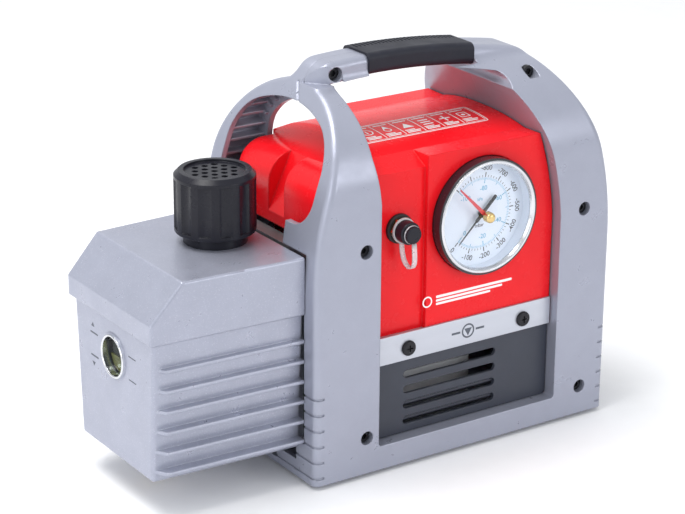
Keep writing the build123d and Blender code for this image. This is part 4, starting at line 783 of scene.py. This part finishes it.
def sight_oil():
    """Amber oil behind the lens, filled to under half way, and behind it a dark disc of painted
    shade for the unlit inside of the casing.
    """
    centre = middle("sight_glass_lens")
    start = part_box("sight_glass_lens")[1].x + OIL_BEHIND_LENS
    wetted = math.asin(OIL_LEVEL / OIL_RADIUS)
    outline = [(OIL_RADIUS * math.cos(a), OIL_RADIUS * math.sin(a))
               for a in (math.pi - wetted + (math.pi + 2 * wetted) * i / OIL_STEPS
                         for i in range(OIL_STEPS + 1))]
    for name, points, x0, x1, finish, slot in (
            ("sight_oil", outline, start, start + OIL_DEPTH, OIL, "sight_glass"),
            ("sight_painted_shade_disc", circle(0, 0, OIL_RADIUS), start + OIL_DEPTH + SHADE_DISC_GAP,
             start + 2 * OIL_DEPTH, SHADE_DISC, "silver_casting")):
        bm = bmesh.new()
        near = [bm.verts.new((x0, centre.y + u, centre.z + v)) for u, v in points]
        far = [bm.verts.new((x1, centre.y + u, centre.z + v)) for u, v in points]
        bm.faces.new(near)
        bm.faces.new(far[::-1])
        wall(bm, near, far)
        make_piece(name, bm, make_material(name + "_finish", **finish), "pump_body")


# ---------------------------------------------------------------- clear strap

COLLAR_THICK = 1.2 * MM
COLLAR_GAP = 0.3 * MM
# Outer and inner radius of the collar on the cap, and of the one on the fitting.
FRONT_COLLAR = (6.2 * MM, 5.9 * MM)
REAR_COLLAR = (8.6 * MM, 5.85 * MM)
BAND_TOP = 6.6 * MM
BAND_LIFT = 0.7 * MM
BAND_STEPS = 28
BAND_BOW = 2.2 * MM
BAND_SLANT = 1.6 * MM
BAND_BULGE = 0.12
BAND_ROUNDNESS = 0.62
BAND_HALF_WIDTH = 1.7 * MM
BAND_HALF_THICK = 0.5 * MM
# Corners of the band's section, as parts of its half width and half thickness.
BAND_SECTION = ((-1, -1), (-0.8, -1.0), (0.8, -1.0), (1, -1), (1, 1), (-1, 1))


def strap_collar(bm, y0, y1, radii, centre):
    """Flat collar round the Y axis at centre."""
    outer, inner = radii
    closed_band(bm, [[bm.verts.new((x, y, z)) for x, z in circle(centre.x, centre.z, radius)]
                     for radius, y in ((outer, y0), (outer, y1), (inner, y1), (inner, y0))])


def strap(finish):
    """Soft clear strap that keeps the cap.

    It is two collars and a hanging band.
    """
    low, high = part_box("cap_strap")
    centre = middle("inlet_cap")
    bm = bmesh.new()
    strap_collar(bm, low.y + COLLAR_GAP, low.y + COLLAR_THICK, FRONT_COLLAR, centre)
    strap_collar(bm, high.y - COLLAR_THICK, high.y, REAR_COLLAR, centre)
    front_y = low.y + (COLLAR_GAP + COLLAR_THICK) / 2
    rear_y = high.y - COLLAR_THICK / 2
    middle_y = (front_y + rear_y) / 2
    reach = (rear_y - front_y) / 2
    top = centre.z - BAND_TOP
    bottom = low.z + BAND_LIFT
    points = []
    for i in range(BAND_STEPS + 1):
        a = math.pi * i / BAND_STEPS
        sag = math.sin(a)
        sideways = BAND_BOW * sag - BAND_SLANT * math.cos(a)
        points.append(Vector((centre.x + sideways,
                              middle_y + reach * math.cos(a) * (1 + BAND_BULGE * sag ** 2),
                              top - (top - bottom) * sag ** BAND_ROUNDNESS)))
    side = X_AXIS * BAND_HALF_WIDTH
    sections = []
    for i, p in enumerate(points):
        ahead = points[min(i + 1, BAND_STEPS)] - points[max(i - 1, 0)]
        ahead.normalize()
        out = ahead.cross(X_AXIS).normalized() * BAND_HALF_THICK
        sections.append([bm.verts.new(p + side * u + out * v) for u, v in BAND_SECTION])
    for a, b in zip(sections, sections[1:]):
        wall(bm, a, b)
    bm.faces.new(sections[0][::-1])
    bm.faces.new(sections[-1])
    piece = make_piece("clear_strap_band", bm, finish, None, smooth=True)
    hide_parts("cap_strap")
    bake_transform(piece)


# ---------------------------------------------------------------- scene

make_camera()
make_studio()
finishes = finish_cad_nodes()
ink_finishes = {name: make_material("ink_" + name, **values) for name, values in INKS.items()}
dial_marks(ink_finishes)
front_mark(ink_finishes)
strip_mark(ink_finishes)
top_label(ink_finishes)
level_marks(ink_finishes)
sight_oil()
strap(finishes["clear_strap"])
